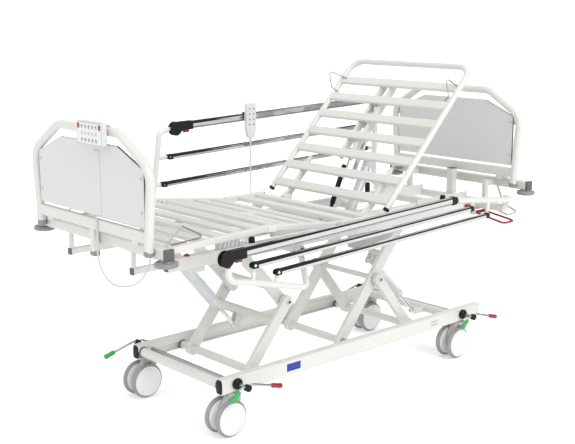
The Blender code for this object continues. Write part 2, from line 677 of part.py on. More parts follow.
def slat(p, way, half_y, width=SLAT_W):
    p0 = along(p, way, -width / 2)
    p1 = along(p, way, width / 2)
    lift = (-way[1] * 0.002, way[0] * 0.002)
    p0 = (p0[0] + lift[0], p0[1] + lift[1])
    p1 = (p1[0] + lift[0], p1[1] + lift[1])
    return beam(p0, p1, -half_y, half_y, SLAT_T)


def hinge_lug(place, from_place, side):
    # An inner cheek with a pin that carries the next section's side tube
    y0, y1 = sorted((side * (PLATFORM_Y - 0.027), side * (PLATFORM_Y - TUBE / 2 - SIDE_CLEAR)))
    pieces = [beam(from_place, place, y0, y1, 0.0205), disc(*place, y0, y1, 0.0110)]
    p0, p1 = sorted((side * (PLATFORM_Y - 0.026), side * (PLATFORM_Y + TUBE / 2 - 0.0005)))
    pieces.append(disc(*place, p0, p1, SECTION_PIN_R))
    return pieces


def build_platform():
    paint = material("Platform cream paint", CREAM, 0.45)
    half = PLATFORM_Y - TUBE / 2 + 0.002
    y_in = PLATFORM_Y - TUBE / 2
    y_out = PLATFORM_Y + TUBE / 2
    hip = (HIP_X, HIP_Z)
    knee = (KNEE_X, KNEE_Z)
    flat = (1.0, 0.0)

    pieces = []
    for name, side in SIDES:
        y0, y1 = sorted((side * y_in, side * y_out))
        pieces.append(box(HIP_X + 0.017, 0.088, y0, y1, HIP_Z - TUBE / 2, HIP_Z + TUBE / 2))
        c0, c1 = sorted((side * (PLATFORM_Y - 0.026), side * PLATFORM_Y))
        pieces.append(box(HIP_X + 0.020, HIP_X + 0.060, c0, c1, HIP_Z - 0.0105, HIP_Z + 0.0105))
        pieces += hinge_lug(hip, (HIP_X + 0.040, HIP_Z), side)
    for x in (-0.050, 0.055):
        pieces.append(box(x - SLAT_W / 2, x + SLAT_W / 2, -half, half, HIP_Z - TUBE / 2, HIP_Z + 0.009))
    node("seat_section", paint, pieces)

    way, length = unit(hip, knee)
    pieces = []
    bores = [bore(*hip, -0.40, 0.40, SECTION_PIN_R + PIVOT_CLEAR)]
    for name, side in SIDES:
        y0, y1 = sorted((side * y_in, side * y_out))
        pieces.append(beam(hip, along(knee, way, -0.017), y0, y1, TUBE))
        pieces.append(disc(*hip, y0, y1, TUBE / 2 + 0.0002))
        c0, c1 = sorted((side * (PLATFORM_Y - 0.026), side * PLATFORM_Y))
        pieces.append(beam(along(knee, way, -0.060), along(knee, way, -0.020), c0, c1, 0.0210))
        pieces += hinge_lug(knee, along(knee, way, -0.040), side)
    up = (-way[0], -way[1])
    for share in (0.16, 0.42, 0.70, 0.88):
        pieces.append(slat(along(hip, way, share * length), up, half))
    drop = along(hip, way, 0.60 * length)
    start = along(hip, way, 0.40 * length)
    end = along(hip, way, 0.72 * length)
    pieces.append(beam(start, end, -0.066, -0.014, 0.0140))
    pieces += lug_pair((drop[0], drop[1] - 0.004), THIGH_ACT_PIN, THIGH_ACT_Y, 0.028)
    node("thigh_section", paint, pieces, bores, (hip[0], 0, hip[1]))

    foot = (CALF_FOOT_X, CALF_FOOT_Z)
    way, length = unit(knee, foot)
    up = (-way[0], -way[1])
    pieces = []
    bores = [bore(*knee, -0.40, 0.40, SECTION_PIN_R + PIVOT_CLEAR)]
    for name, side in SIDES:
        y0, y1 = sorted((side * y_in, side * y_out))
        pieces.append(beam(knee, foot, y0, y1, TUBE))
        pieces.append(disc(*knee, y0, y1, TUBE / 2 + 0.0002))
    for share in (0.11, 0.29, 0.47, 0.65, 0.83):
        pieces.append(slat(along(knee, way, share * length), up, half))
    pieces.append(slat(along(knee, way, length - 0.014), up, half, 0.024))
    node("calf_section", paint, pieces, bores, (knee[0], 0, knee[1]))

    side_y = PLATFORM_Y - 0.001
    r = 0.0135
    corner_s = BACK_LEN
    low_near = back_at(0.0, 0.0)
    top = back_at(corner_s, 0.0)
    path = [(low_near[0], -side_y, low_near[1]), (top[0], -side_y, top[1])]
    path += [(top[0], side_y, top[1]), (low_near[0], side_y, low_near[1])]
    pieces = [tube(rounded(path, 0.070, 5), r, 2)]
    for index in range(7):
        pieces.append(slat(back_at(0.038 + 0.1045 * index, 0.0), BACK_WAY, side_y - 0.004))
    for y in (BACK_ROD_Y - 0.030, BACK_ROD_Y + 0.030):
        start = back_at(0.235, RIB_OFF + 0.006)
        end = back_at(0.690, RIB_OFF + 0.006)
        pieces.append(beam(start, end, y - 0.008, y + 0.008, 0.034))
    pieces.append(disc(*BACK_ACT_BACK, BACK_ROD_Y - 0.028, BACK_ROD_Y + 0.028, LUG_PIN_R))
    pieces.append(disc(*GAS_BACK, BACK_ROD_Y + 0.030, GAS_ROD_Y + 0.0100, LUG_PIN_R))
    pivot = (BACK_PIVOT_X, BACK_PIVOT_Z)
    outline = [along(pivot, (-0.60, -0.80), 0.024), along(pivot, (0.55, -0.835), 0.024)]
    outline.append(back_at(0.15, -0.032))
    outline += [back_at(0.245, -0.002), back_at(0.02, -0.002), along(pivot, (-0.95, 0.31), 0.024)]
    for name, side in SIDES:
        pieces.append(plate(outline, 0.014, "xz", side * (MID_Y + 0.0155)))
    bores = [bore(*pivot, -0.30, 0.30, BACK_PIN_R + PIVOT_CLEAR)]
    node("backrest", paint, pieces, bores, (pivot[0], 0, pivot[1]))


def hoop(x, top_z):
    low = BOARD_Z0
    path = [(x, -0.366, low), (x, -0.392, top_z - 0.115), (x, -0.205, top_z), (x, 0.205, top_z)]
    path += [(x, 0.392, top_z - 0.115), (x, 0.366, low)]
    return tube(rounded(path, 0.085, 4), HOOP_R, 2)


def bumper_holes(x, z):
    # Bolt holes in a crossbar's underside
    spots = [(x, side * BUMPER_Y) for name, side in SIDES]
    return [rod((*spot, z - 0.01), (*spot, z + 0.018), 0.0067) for spot in spots]


def build_ends():
    paint = material("End cream paint", CREAM, 0.45)
    board = material("Panel grey", (0.66, 0.66, 0.67), 0.5)
    rubber = material("Bumper grey", GREY, 0.6)
    z0 = BAR_Z1 - BAR
    foot_mid = FOOT_BAR_X + BAR / 2
    head_mid = HEAD_BAR_X + BAR / 2
    pieces = [box(FOOT_BAR_X, FOOT_BAR_X + BAR, -BAR_HALF, BAR_HALF, z0, BAR_Z1)]
    for name, side in SIDES:
        guide = MID_Y - MID_W / 2 - GAP
        y0, y1 = sorted((side * (guide - 0.022), side * guide))
        pieces.append(box(FOOT_BAR_X + 0.010, -0.560, y0, y1, EXTEND_Z0, EXTEND_Z0 + 0.024))
        y0, y1 = sorted((side * (guide - 0.019), side * (guide - 0.003)))
        pieces.append(box(FOOT_BAR_X + 0.012, FOOT_BAR_X + 0.028, y0, y1, EXTEND_Z0 - 0.003, z0 + 0.006))
    holes = bumper_holes(foot_mid, z0)
    node("foot_crossbar", paint, pieces, holes)
    bar = box(HEAD_BAR_X, HEAD_BAR_X + BAR, -BAR_HALF, BAR_HALF, z0, BAR_Z1)
    holes = bumper_holes(head_mid, z0)
    node("head_crossbar", paint, [bar], holes)
    for end, x in (("foot", foot_mid), ("head", head_mid)):
        for name, side in SIDES:
            y = side * BUMPER_Y
            low = z0 - 0.024
            pieces = [
                rod((x, y, low), (x, y, low + BUMPER_T), BUMPER_R, 24),
                rod((x, y, low + 0.004), (x, y, z0 - GAP), 0.024, 14),
                rod((x, y, low + 0.010), (x, y, z0 + 0.016), 0.006),
            ]
            node(f"{end}_bumper_{name}", rubber, pieces, (), (x, y, z0))
    spots = [("footboard", FOOT_BAR_X - GAP - HOOP_R, FOOT_TOP_Z, BAR_Z1 + 0.014)]
    spots.append(("headboard", HEAD_BAR_X - GAP - HOOP_R, HEAD_TOP_Z, BAR_Z1 + 0.018))
    for name, x, top_z, rail_z in spots:
        pieces = [hoop(x, top_z), box(x - 0.012, x + 0.012, -0.372, 0.372, rail_z, rail_z + 0.042)]
        for side in (-1, 1):
            y0, y1 = sorted((side * 0.270, side * 0.310))
            pieces.append(box(x - 0.006, x + HOOP_R + 0.028, y0, y1, BAR_Z1 + GAP, rail_z + 0.015))
            for z in (rail_z + 0.095, top_z - 0.155):
                y0, y1 = sorted((side * 0.335, side * 0.384))
                pieces.append(box(x + PANEL_T / 2 + GAP, x + PANEL_T / 2 + 0.0060, y0, y1, z, z + 0.022))
        if name == "footboard":
            pieces.append(box(x - 0.0130, x + 0.0125, -0.0315, -0.0060, BAR_Z1 - 0.079, rail_z + 0.02))
        node(name + "_frame", paint, pieces, (), (x, 0, BAR_Z1))
        z1 = rail_z + 0.055
        outline = [(-0.346, z1), (0.346, z1), (0.354, z1 + 0.012)]
        outline += [(0.354, top_z - 0.122), (0.344, top_z - 0.108), (0.192, top_z - 0.047)]
        outline += [(-0.192, top_z - 0.047), (-0.344, top_z - 0.108), (-0.354, top_z - 0.122)]
        outline += [(-0.354, z1 + 0.012)]
        pieces = [plate(outline, PANEL_T, "yz", x)]
        if name == "footboard":
            y0, y1 = PANEL_CORD_Y - 0.018, PANEL_CORD_Y + 0.018
            pieces.append(box(x - 0.0170, x, y0, y1, z1 + 0.001, FOOT_TOP_Z - 0.073))
        node(name + "_panel", board, pieces)


PANEL_CORD_Y = -0.064
CONTROL_Y = -0.080
CONTROL_W = 0.170
CONTROL_H = 0.088
CONTROL_T = 0.024
OVER_X = 0.0630 - FOOT_BAR_X


# Control panel: an upright box whose hook lies over the footboard's top tube
def build_controls():
    x_tube = FOOT_BAR_X - GAP - HOOP_R
    mid_z = FOOT_TOP_Z - 0.009
    y0 = CONTROL_Y - CONTROL_W / 2
    y1 = CONTROL_Y + CONTROL_W / 2
    case = box(-OVER_X, CONTROL_T - OVER_X, y0, y1, mid_z - CONTROL_H / 2, mid_z + CONTROL_H / 2)
    tube_top = FOOT_TOP_Z + HOOP_R
    y0, y1 = CONTROL_Y - 0.040, CONTROL_Y + 0.040
    hook = box(0.012 - OVER_X, x_tube + HOOP_R + 0.0045, y0, y1, tube_top + GAP, tube_top + 0.005)
    x0, x1 = x_tube + HOOP_R + GAP, x_tube + HOOP_R + 0.0045
    lip = box(x0, x1, y0, y1, FOOT_TOP_Z - 0.004, tube_top + 0.0049)
    node("control_panel", material("Control panel white", WHITE, 0.4), [case, hook, lip])

    bar_z = rail_line(HANDSET_X)[1]
    y0 = HANDSET_Y - 0.011
    y1 = HANDSET_Y + 0.011
    top = bar_z + TOP_BAR_H / 2
    x = HANDSET_X
    z1 = top + 0.050
    z0 = z1 - 0.160
    outline = [(x - 0.022, z0), (x + 0.022, z0), (x + 0.033, z0 + 0.055)]
    outline += [(x + 0.033, z1 - 0.010), (x + 0.024, z1)]
    outline += [(x - 0.024, z1), (x - 0.033, z1 - 0.010), (x - 0.033, z0 + 0.055)]
    bar_out = RAIL_BAR_Y + RAIL_BAR_T / 2
    pieces = [
        plate(outline, 0.022, "xz", HANDSET_Y),
        box(x - 0.015, x + 0.015, HANDSET_Y, bar_out + 0.0035, top + 0.0015, top + 0.0065),
        box(x - 0.015, x + 0.015, bar_out + 0.0005, bar_out + 0.0035, top - 0.020, top + 0.0064),
    ]
    node("handset", material("Handset grey", (0.70, 0.71, 0.71), 0.45), pieces)
    x0, x1 = CPR_ENDS[0] + 0.0045, CPR_ENDS[1] - 0.0045
    hub = rod((x0, *CPR_AXIS), (x1, *CPR_AXIS), 0.009, 10)
    hole = rod((x0 - 0.02, *CPR_AXIS), (x1 + 0.02, *CPR_AXIS), 1.016 * (CPR_PIN_R + PIVOT_CLEAR), 12)
    middle = ((x0 + x1) / 2, *CPR_AXIS)
    node("cpr_lever", material("Lever red", RED, 0.4), [hub, tube(cpr_path(), CPR_ROD_R, 1)], [hole], middle)


CPR_ROD_R = 0.0042


def cpr_path():
    # Loop handle that slopes down and outward from its hub
    y, z = CPR_AXIS
    x0, x1 = CPR_ENDS[0] + 0.012, CPR_ENDS[1] - 0.014
    path = [(x0, y - 0.0065, z), (x0 - 0.005, y - 0.171, z - 0.026)]
    path += [(x1 + 0.005, y - 0.171, z - 0.025), (x1, y - 0.0065, z)]
    return rounded(path, 0.018, 2)


HANDSET_X = 0.047
HANDSET_Y = 0.4040
PIN_SPOTS = [("low", -0.067, 0.161, LOW_BAR_H), ("mid", -0.0315, 0.280, LOW_BAR_H)]
PIN_SPOTS.append(("top", 0.010, 0.410, TOP_BAR_H))


def rail_line(x):
    # Height of the raised top bar's centre line at x
    dx, dz = PIN_SPOTS[2][1:3]
    slope = (RAIL_HEAD_PIVOT_Z - RAIL_FOOT_PIVOT_Z) / (RAIL_HEAD_PIVOT_X - RAIL_FOOT_PIVOT_X)
    return (x, RAIL_FOOT_PIVOT_Z + dz + (x - RAIL_FOOT_PIVOT_X - dx) * slope)


def turned(dx, dz, degrees):
    # Folding turns a raised arm toward the foot end
    c = math.cos(math.radians(degrees))
    s = math.sin(math.radians(degrees))
    return (dx * c - dz * s, dx * s + dz * c)


def build_rail(name, side, fold):
    white = material(f"Rail arm white {name}", WHITE, 0.35)
    alu = material(f"Rail aluminium {name}", SILVER, 0.25, 1.0)
    black = material(f"Rail grip black {name}", BLACK, 0.5)
    red = material(f"Rail trigger red {name}", RED, 0.4)
    foot = (RAIL_FOOT_PIVOT_X, RAIL_FOOT_PIVOT_Z)
    head = (RAIL_HEAD_PIVOT_X, RAIL_HEAD_PIVOT_Z)
    slope = math.atan2(head[1] - foot[1], head[0] - foot[0])
    run = (math.cos(slope), math.sin(slope))

    def at(pivot, dx, dz):
        turn = turned(dx, dz, fold)
        return (pivot[0] + turn[0], pivot[1] + turn[1])

    def point(pivot, dx, dz, y):
        place = at(pivot, dx, dz)
        return (place[0], side * y, place[1])

    def hub(pivot, y, reach):
        y0, y1 = sorted((side * (y - reach), side * (y + reach)))
        return disc(*pivot, y0, y1, 0.0175)

    def tongue(pivot, start, pin, short):
        # Flat tongue with its pin, from a tube that stops short of the fork
        p0, p1 = at(pivot, *start), at(pivot, *pin)
        way = unit(p0, p1)[0]
        y = side * RAIL_BAR_Y
        y0, y1 = y - TONGUE_T / 2, y + TONGUE_T / 2
        flat = beam(along(p1, way, -short - 0.012), along(p1, way, 0.007), y0, y1, 0.0138)
        across = disc(*p1, y - RAIL_BAR_T / 2, y + RAIL_BAR_T / 2, RAIL_PIN_R)
        return along(p1, way, -short), [flat, across]

    def fork_stub(pivot, start, pin):
        # Stub tube in the bars' plane, with the tongue in its end
        end, made = tongue(pivot, start, pin, 0.0215)
        stop = (end[0], side * RAIL_BAR_Y, end[1])
        return [rod(point(pivot, *start, RAIL_BAR_Y), stop, STUB_R, 8)] + made

    # Foot arm: bent tube that carries the bars' foot ends
    top = PIN_SPOTS[2][1:3]
    low_bend = (-0.142, -0.004)
    lean = 0.0485 / 0.304
    path = [point(foot, -0.003, -0.001, RAIL_HUB_Y), point(foot, -0.098, -0.032, RAIL_HUB_Y)]
    path += [point(foot, *low_bend, RAIL_BAR_Y), point(foot, -0.0935, 0.300, RAIL_BAR_Y)]
    corner = (-0.083, 0.392)
    end, made = tongue(foot, corner, top, 0.042)
    path += [point(foot, *corner, RAIL_BAR_Y), (end[0], side * RAIL_BAR_Y, end[1])]
    pieces = [tube(rounded(path, 0.050, 3), RAIL_ARM_R, 2), hub(foot, RAIL_HUB_Y, RAIL_ARM_R)] + made
    for label, dx, dz, high in PIN_SPOTS[:2]:
        pieces += fork_stub(foot, (low_bend[0] + lean * (dz - low_bend[1]), dz), (dx, dz))
    hole = bore(*foot, side * 0.34, side * 0.41, 0.010 + PIVOT_CLEAR)
    node(f"rail_foot_arm_{name}", white, pieces, [hole], (foot[0], side * RAIL_HUB_Y, foot[1]))

    # Head arm: straight tube through its pivot
    tail = (-0.002, -0.034)
    end, made = tongue(head, tail, top, 0.0245)
    straight = [point(head, *tail, RAIL_BAR_Y), (end[0], side * RAIL_BAR_Y, end[1])]
    pieces = [tube(straight, HEAD_ARM_R, 2), hub(head, RAIL_BAR_Y, HEAD_ARM_R)] + made
    for label, dx, dz, high in PIN_SPOTS[:2]:
        pieces += fork_stub(head, (0.004, dz), (dx, dz))
    hole = bore(*head, side * 0.34, side * 0.46, 0.010 + PIVOT_CLEAR)
    node(f"rail_head_arm_{name}", white, pieces, [hole], (head[0], side * RAIL_BAR_Y, head[1]))

    def fork(p0, p1, high):
        # Slot for a tongue in a bar's end
        y = side * RAIL_BAR_Y
        return beam(p0, p1, y - FORK_GAP / 2, y + FORK_GAP / 2, high)

    # Bars keep their slope while the arms fold
    y0, y1 = sorted((side * (RAIL_BAR_Y - RAIL_BAR_T / 2), side * (RAIL_BAR_Y + RAIL_BAR_T / 2)))
    for label, dx, dz, high in PIN_SPOTS:
        p0 = at(foot, dx, dz)
        p1 = at(head, dx, dz)
        start = GRIP_LEN + GAP if label == "top" else -0.016
        pieces = [beam(along(p0, run, start), along(p1, run, 0.016), y0, y1, high)]
        bores = [bore(*p1, side * 0.40, side * 0.46, RAIL_PIN_R + PIVOT_CLEAR)]
        bores.append(fork(along(p1, run, -FORK_DEPTH), along(p1, run, 0.03), high + 0.02))
        if label != "top":
            bores.append(bore(*p0, side * 0.40, side * 0.46, RAIL_PIN_R + PIVOT_CLEAR))
            bores.append(fork(along(p0, run, -0.03), along(p0, run, FORK_DEPTH), high + 0.02))
        node(f"rail_{label}_bar_{name}", alu, pieces, bores, (p0[0], side * RAIL_BAR_Y, p0[1]))

    # Grip at the top bar's foot end, with a pocket for the release trigger
    p0 = at(foot, *PIN_SPOTS[2][1:3])
    g0, g1 = sorted((side * (RAIL_BAR_Y - RAIL_BAR_T / 2 - 0.0018), side * (RAIL_BAR_Y + 0.0155)))
    nose = along(p0, run, -0.006)
    boss = along(nose, (-run[1], run[0]), -0.008)
    pieces = [beam(nose, along(p0, run, GRIP_LEN), g0, g1, 0.038)]
    pieces.append(disc(*boss, g0 + 0.0004, g1 - 0.0004, 0.031, 20))
    bores = [bore(*p0, side * 0.40, side * 0.46, RAIL_PIN_R + PIVOT_CLEAR)]
    bores.append(fork(along(p0, run, -0.05), along(p0, run, FORK_DEPTH + 0.001), 0.12))
    low = along(along(p0, run, 0.052), (-run[1], run[0]), -0.019)
    mid = side * RAIL_BAR_Y
    bores.append(beam(along(low, run, -0.0170), along(low, run, 0.0170), mid - 0.0065, mid + 0.0065, 0.026))
    node(f"rail_grip_{name}", black, pieces, bores, (p0[0], side * RAIL_BAR_Y, p0[1]))
    tip = along(low, (-run[1], run[0]), -0.003)
    trigger = beam(along(tip, run, -0.0162), along(tip, run, 0.0162), mid - 0.0058, mid + 0.0058, 0.018)
    node(f"rail_trigger_{name}", red, [trigger])


def smooth(points, count):
    # Points of a smooth curve through the given ones (a cubic through each four in turn)
    knots = [Vector(place) for place in points]
    knots = [2 * knots[0] - knots[1]] + knots + [2 * knots[-1] - knots[-2]]
    path = []
    for step in range(count + 1):
        share = step / count * (len(points) - 1)
        index = min(int(share), len(points) - 2)
        t = share - index
        a, b, c, d = knots[index:index + 4]
        bend = (2 * a - 5 * b + 4 * c - d) * t * t + (3 * b - a - 3 * c + d) * t * t * t
        place = 2 * b + (c - a) * t + bend
        path.append(tuple(place / 2))
    return path


# Free cords: from the handset down to the frame, and from the board's channel to the crossbar
def build_cords():
    look = material("Cord pale grey", (0.72, 0.72, 0.70), 0.5)
    x = HANDSET_X
    y = HANDSET_Y
    top = rail_line(HANDSET_X)[1] + TOP_BAR_H / 2 + 0.050 - 0.160 - GAP
    side = MID_Y + MID_W / 2
    low = MID_Z0
    route = [(x, y, top), (x, y, top - 0.080), (x, y, low + 0.150), (x + 0.003, y - 0.006, low + 0.055)]
    route += [(x + 0.013, y - 0.036, low - 0.015), (x + 0.028, side + 0.068, low - 0.034)]
    route += [(x + 0.044, side + 0.042, low - 0.002), (x + 0.055, side + 0.022, low + 0.024)]
    route += [(x + 0.055, side + 0.008, low + 0.024), (x + 0.055, side + GAP, low + 0.024)]
    node("handset_cord", look, [tube(smooth(route, 30), CORD_R, 2)])
    x = FOOT_BAR_X - GAP - HOOP_R - 0.0175
    y = PANEL_CORD_Y
    top = BAR_Z1 + 0.014 + 0.055 + 0.001 - GAP
    end = (FOOT_BAR_X + BAR / 2, -0.318, BAR_Z1 - BAR - GAP)
    route = [(x, y, top), (x, y, top - 0.060), (x, y - 0.002, top - 0.150)]
    route.append((x + 0.008, y - 0.026, top - 0.215))
    route += [(x + 0.022, y - 0.090, top - 0.248), (end[0] - 0.012, end[1] + 0.072, top - 0.225)]
    route += [(end[0] - 0.002, end[1] + 0.014, top - 0.165), (end[0], end[1], end[2] - 0.020), end]
    node("panel_cord", look, [tube(smooth(route, 28), CORD_R, 2)])


build_base()
build_casters()
build_brakes()
build_lift()
build_actuators()
build_mid_frame()
build_platform()
build_ends()
build_controls()
build_rail("near", -1, RAIL_FOLD_DEG)
build_rail("far", 1, 0.0)
build_cords()
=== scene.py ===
import math

import bpy
import numpy as np
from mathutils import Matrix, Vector


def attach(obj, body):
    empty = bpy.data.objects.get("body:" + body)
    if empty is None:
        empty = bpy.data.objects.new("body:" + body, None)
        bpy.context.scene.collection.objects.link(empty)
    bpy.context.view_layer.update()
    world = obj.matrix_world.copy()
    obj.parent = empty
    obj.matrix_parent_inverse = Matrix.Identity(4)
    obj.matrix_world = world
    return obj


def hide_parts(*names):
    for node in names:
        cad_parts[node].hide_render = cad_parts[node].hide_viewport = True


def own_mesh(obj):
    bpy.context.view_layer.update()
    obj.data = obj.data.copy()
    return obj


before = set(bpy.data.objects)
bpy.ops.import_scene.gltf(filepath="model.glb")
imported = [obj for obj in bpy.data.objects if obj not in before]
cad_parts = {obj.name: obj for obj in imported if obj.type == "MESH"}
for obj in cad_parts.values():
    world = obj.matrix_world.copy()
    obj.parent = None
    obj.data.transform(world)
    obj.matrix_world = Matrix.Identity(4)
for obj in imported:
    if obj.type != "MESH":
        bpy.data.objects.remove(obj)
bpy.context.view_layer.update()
print("frame loaded:", len(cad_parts), "nodes")

# camera at the photograph's place, taken from the solved view
photoView = dict(place=(-3.0711, -3.2897, 1.6489), yaw=47.789, pitch=11.774, lens=65.47)


def addCamera(spec):
    data = bpy.data.cameras.new("photoCamera")
    data.lens = spec["lens"]
    data.sensor_width = 36.0
    data.clip_end = 2000.0
    camera = bpy.data.objects.new("photoCamera", data)
    bpy.context.scene.collection.objects.link(camera)
    yaw = math.radians(spec["yaw"])
    pitch = math.radians(spec["pitch"])
    look = Vector((math.cos(yaw) * math.cos(pitch), math.sin(yaw) * math.cos(pitch), -math.sin(pitch)))
    camera.location = spec["place"]
    camera.rotation_euler = look.to_track_quat("-Z", "Y").to_euler()
    bpy.context.scene.camera = camera


addCamera(photoView)


# shader maths as expressions on sockets
class Flow:
    def __init__(self, tree, socket):
        self.tree = tree
        self.socket = socket

    def join(self, operation, left, right):
        made = self.tree.nodes.new("ShaderNodeMath")
        made.operation = operation
        for slot, value in zip(made.inputs, (left, right)):
            if isinstance(value, Flow):
                self.tree.links.new(value.socket, slot)
            else:
                slot.default_value = value
        return Flow(self.tree, made.outputs[0])

    def __add__(self, other):
        return self.join("ADD", self, other)

    __radd__ = __add__

    def __mul__(self, other):
        return self.join("MULTIPLY", self, other)

    __rmul__ = __mul__

    def __sub__(self, other):
        return self.join("SUBTRACT", self, other)

    def __rsub__(self, other):
        return self.join("SUBTRACT", other, self)


class NodeTree:
    def __init__(self, tree):
        self.tree = tree

    def node(self, kind, settings=None, sockets=None, out=0):
        made = self.tree.nodes.new(kind)
        for key, value in (settings or {}).items():
            setattr(made, key, value)
        for key, value in (sockets or {}).items():
            if isinstance(value, Flow):
                self.tree.links.new(value.socket, made.inputs[key])
            else:
                made.inputs[key].default_value = value
        return Flow(self.tree, made.outputs[out])

    def ramp(self, value, start, end):
        smooth = {"interpolation_type": "SMOOTHSTEP"}
        return self.node("ShaderNodeMapRange", smooth, {0: value, 1: start, 2: end})


class Finish(NodeTree):
    def __init__(self, name, color, roughness, **fixed):
        self.material = bpy.data.materials.new(name)
        self.material.use_nodes = True
        super().__init__(self.material.node_tree)
        self.shader = self.tree.nodes["Principled BSDF"]
        self.shader.inputs["Base Color"].default_value = (*color, 1.0)
        self.shader.inputs["Roughness"].default_value = roughness
        for socket, value in fixed.items():
            self.shader.inputs[socket.replace("_", " ")].default_value = value

    def place(self, stretch=(1, 1, 1)):
        coords = self.node("ShaderNodeTexCoord", out=3)
        return self.node("ShaderNodeMapping", None, {0: coords, 3: stretch})

    def noise(self, scale, detail=2.0, stretch=(1, 1, 1)):
        sockets = {"Vector": self.place(stretch), "Scale": scale, "Detail": detail}
        return self.node("ShaderNodeTexNoise", None, sockets)

    def mix(self, factor, first, second):
        sockets = {0: factor, 6: (*first, 1.0), 7: (*second, 1.0)}
        return self.node("ShaderNodeMix", {"data_type": "RGBA"}, sockets, 2)

    def feed(self, socket, flow):
        self.tree.links.new(flow.socket, self.shader.inputs[socket])

    def bump(self, height, strength, distance):
        sockets = {"Height": height, "Strength": strength, "Distance": distance}
        self.feed("Normal", self.node("ShaderNodeBump", None, sockets))


def shade(color, gain):
    return tuple(min(1.0, value * gain) for value in color)


# painted or moulded skin: cloudy tint, uneven gloss and a fine grain in the surface
def skin(name, color, roughness, grain=700, depth=0.05, cloud=0.03, gloss=0.10, **fixed):
    made = Finish(name, color, roughness, **fixed)
    clouds = made.noise(5.0, 3.0)
    made.feed("Base Color", made.mix(clouds, shade(color, 1 - 2 * cloud), shade(color, 1 + cloud)))
    made.feed("Roughness", roughness - gloss / 2 + clouds * gloss)
    made.bump(made.noise(grain, 2.0), depth, 0.0006)
    return made.material


# drawn metal: fine lines along x in gloss and surface
def drawnMetal(name, color, roughness, stretch, depth=0.03):
    made = Finish(name, color, roughness, Metallic=1.0)
    lines = made.noise(60.0, 4.0, stretch)
    made.feed("Base Color", made.mix(lines, shade(color, 0.92), shade(color, 1.05)))
    made.feed("Roughness", roughness * 0.7 + lines * roughness * 0.6)
    made.bump(lines, depth, 0.0004)
    return made.material


# a skin: name, colour, roughness, then grain, bump depth, cloud and gloss where they differ;
# a drawn metal: name, colour, roughness, stretch of its lines, bump depth
dull = dict(Specular_IOR_Level=0.18)
looks = dict(
    cream=skin("creamPaint", (0.615, 0.612, 0.584), 0.38, 900, 0.04, 0.015, 0.10),
    railWhite=skin("railPaint", (0.625, 0.623, 0.600), 0.30, 900, 0.03, 0.012, 0.08),
    sheet=skin("panelSheet", (0.600, 0.600, 0.605), 0.55, 1500, 0.06, 0.015, 0.08),
    core=skin("panelCore", (0.035, 0.036, 0.038), 0.55, 1200, 0.05),
    black=skin("blackPlastic", (0.010, 0.010, 0.011), 0.45, 1400, 0.10, 0.05, 0.14, **dull),
    red=skin("redPlastic", (0.290, 0.011, 0.017), 0.36, 1100, 0.05, 0.04),
    green=skin("greenPlastic", (0.020, 0.340, 0.060), 0.38, 1100, 0.05, 0.04),
    bumper=skin("bumperPlastic", (0.225, 0.235, 0.245), 0.50, 1300, 0.10, 0.03, 0.12),
    capGrey=skin("capPlastic", (0.090, 0.093, 0.097), 0.52, 1300, 0.10, 0.04, 0.12),
    pale=skin("palePlastic", (0.430, 0.432, 0.435), 0.48, 1200, 0.08, 0.02, 0.12),
    white=skin("whitePlastic", (0.680, 0.682, 0.680), 0.36, 1300, 0.04, 0.01, 0.08),
    shell=skin("shellPlastic", (0.600, 0.602, 0.606), 0.40, 1300, 0.05, 0.01, 0.08),
    tyre=skin("tyreGrey", (0.270, 0.273, 0.278), 0.62, 1000, 0.12, 0.04, 0.12),
    barrel=skin("barrelPaint", (0.610, 0.632, 0.640), 0.28, 1000, 0.03, 0.02, 0.10, Metallic=0.30),
    cord=skin("cordSheath", (0.520, 0.520, 0.514), 0.50, 1600, 0.06, 0.02),
    blue=skin("bluePlate", (0.010, 0.028, 0.280), 0.35, 900, 0.03, 0.02),
    ink=skin("inkMarks", (0.040, 0.040, 0.050), 0.50, 900, 0.02),
    rod=drawnMetal("chromeRod", (0.720, 0.725, 0.730), 0.10, (1, 1, 1), 0.01),
    alu=drawnMetal("polishedAluminium", (0.590, 0.600, 0.598), 0.09, (0.05, 1, 1), 0.01),
    # darker, rougher copy of the polished aluminium: painted shade for the far rail's bars
    aluShaded=drawnMetal("shadedAluminium", (0.540, 0.544, 0.550), 0.14, (0.05, 1, 1), 0.01),
    steel=drawnMetal("bareSteel", (0.420, 0.425, 0.432), 0.30, (1, 0.05, 1)),
    wire=drawnMetal("springWire", (0.300, 0.305, 0.312), 0.24, (1, 1, 1)),
)
print("finishes made:", len(looks))


# arrays; every part below is (points, list of faces)
def vec(values):
    return np.asarray(values, float)


def rays(turn):
    return np.stack([np.cos(turn), np.sin(turn)], axis=1)


def unit(rows):
    return rows / np.linalg.norm(rows, axis=-1, keepdims=True)


# quads between neighbouring rings of a grid, the last column joined to the first
def ringFaces(rows, cols):
    index = np.arange(rows * cols).reshape(rows, cols)
    ahead = np.roll(index, -1, axis=1)
    quads = np.stack([index[:-1], ahead[:-1], ahead[1:], index[1:]], axis=-1)
    return quads.reshape(-1, 4).tolist()


def capped(points, rows, cols):
    faces = ringFaces(rows, cols)
    faces.append(list(range(cols))[::-1])
    faces.append(list(range((rows - 1) * cols, rows * cols)))
    return points.reshape(-1, 3), faces


def circle(radius, sides):
    turn = np.arange(sides) * 2 * math.pi / sides
    return rays(turn) * radius


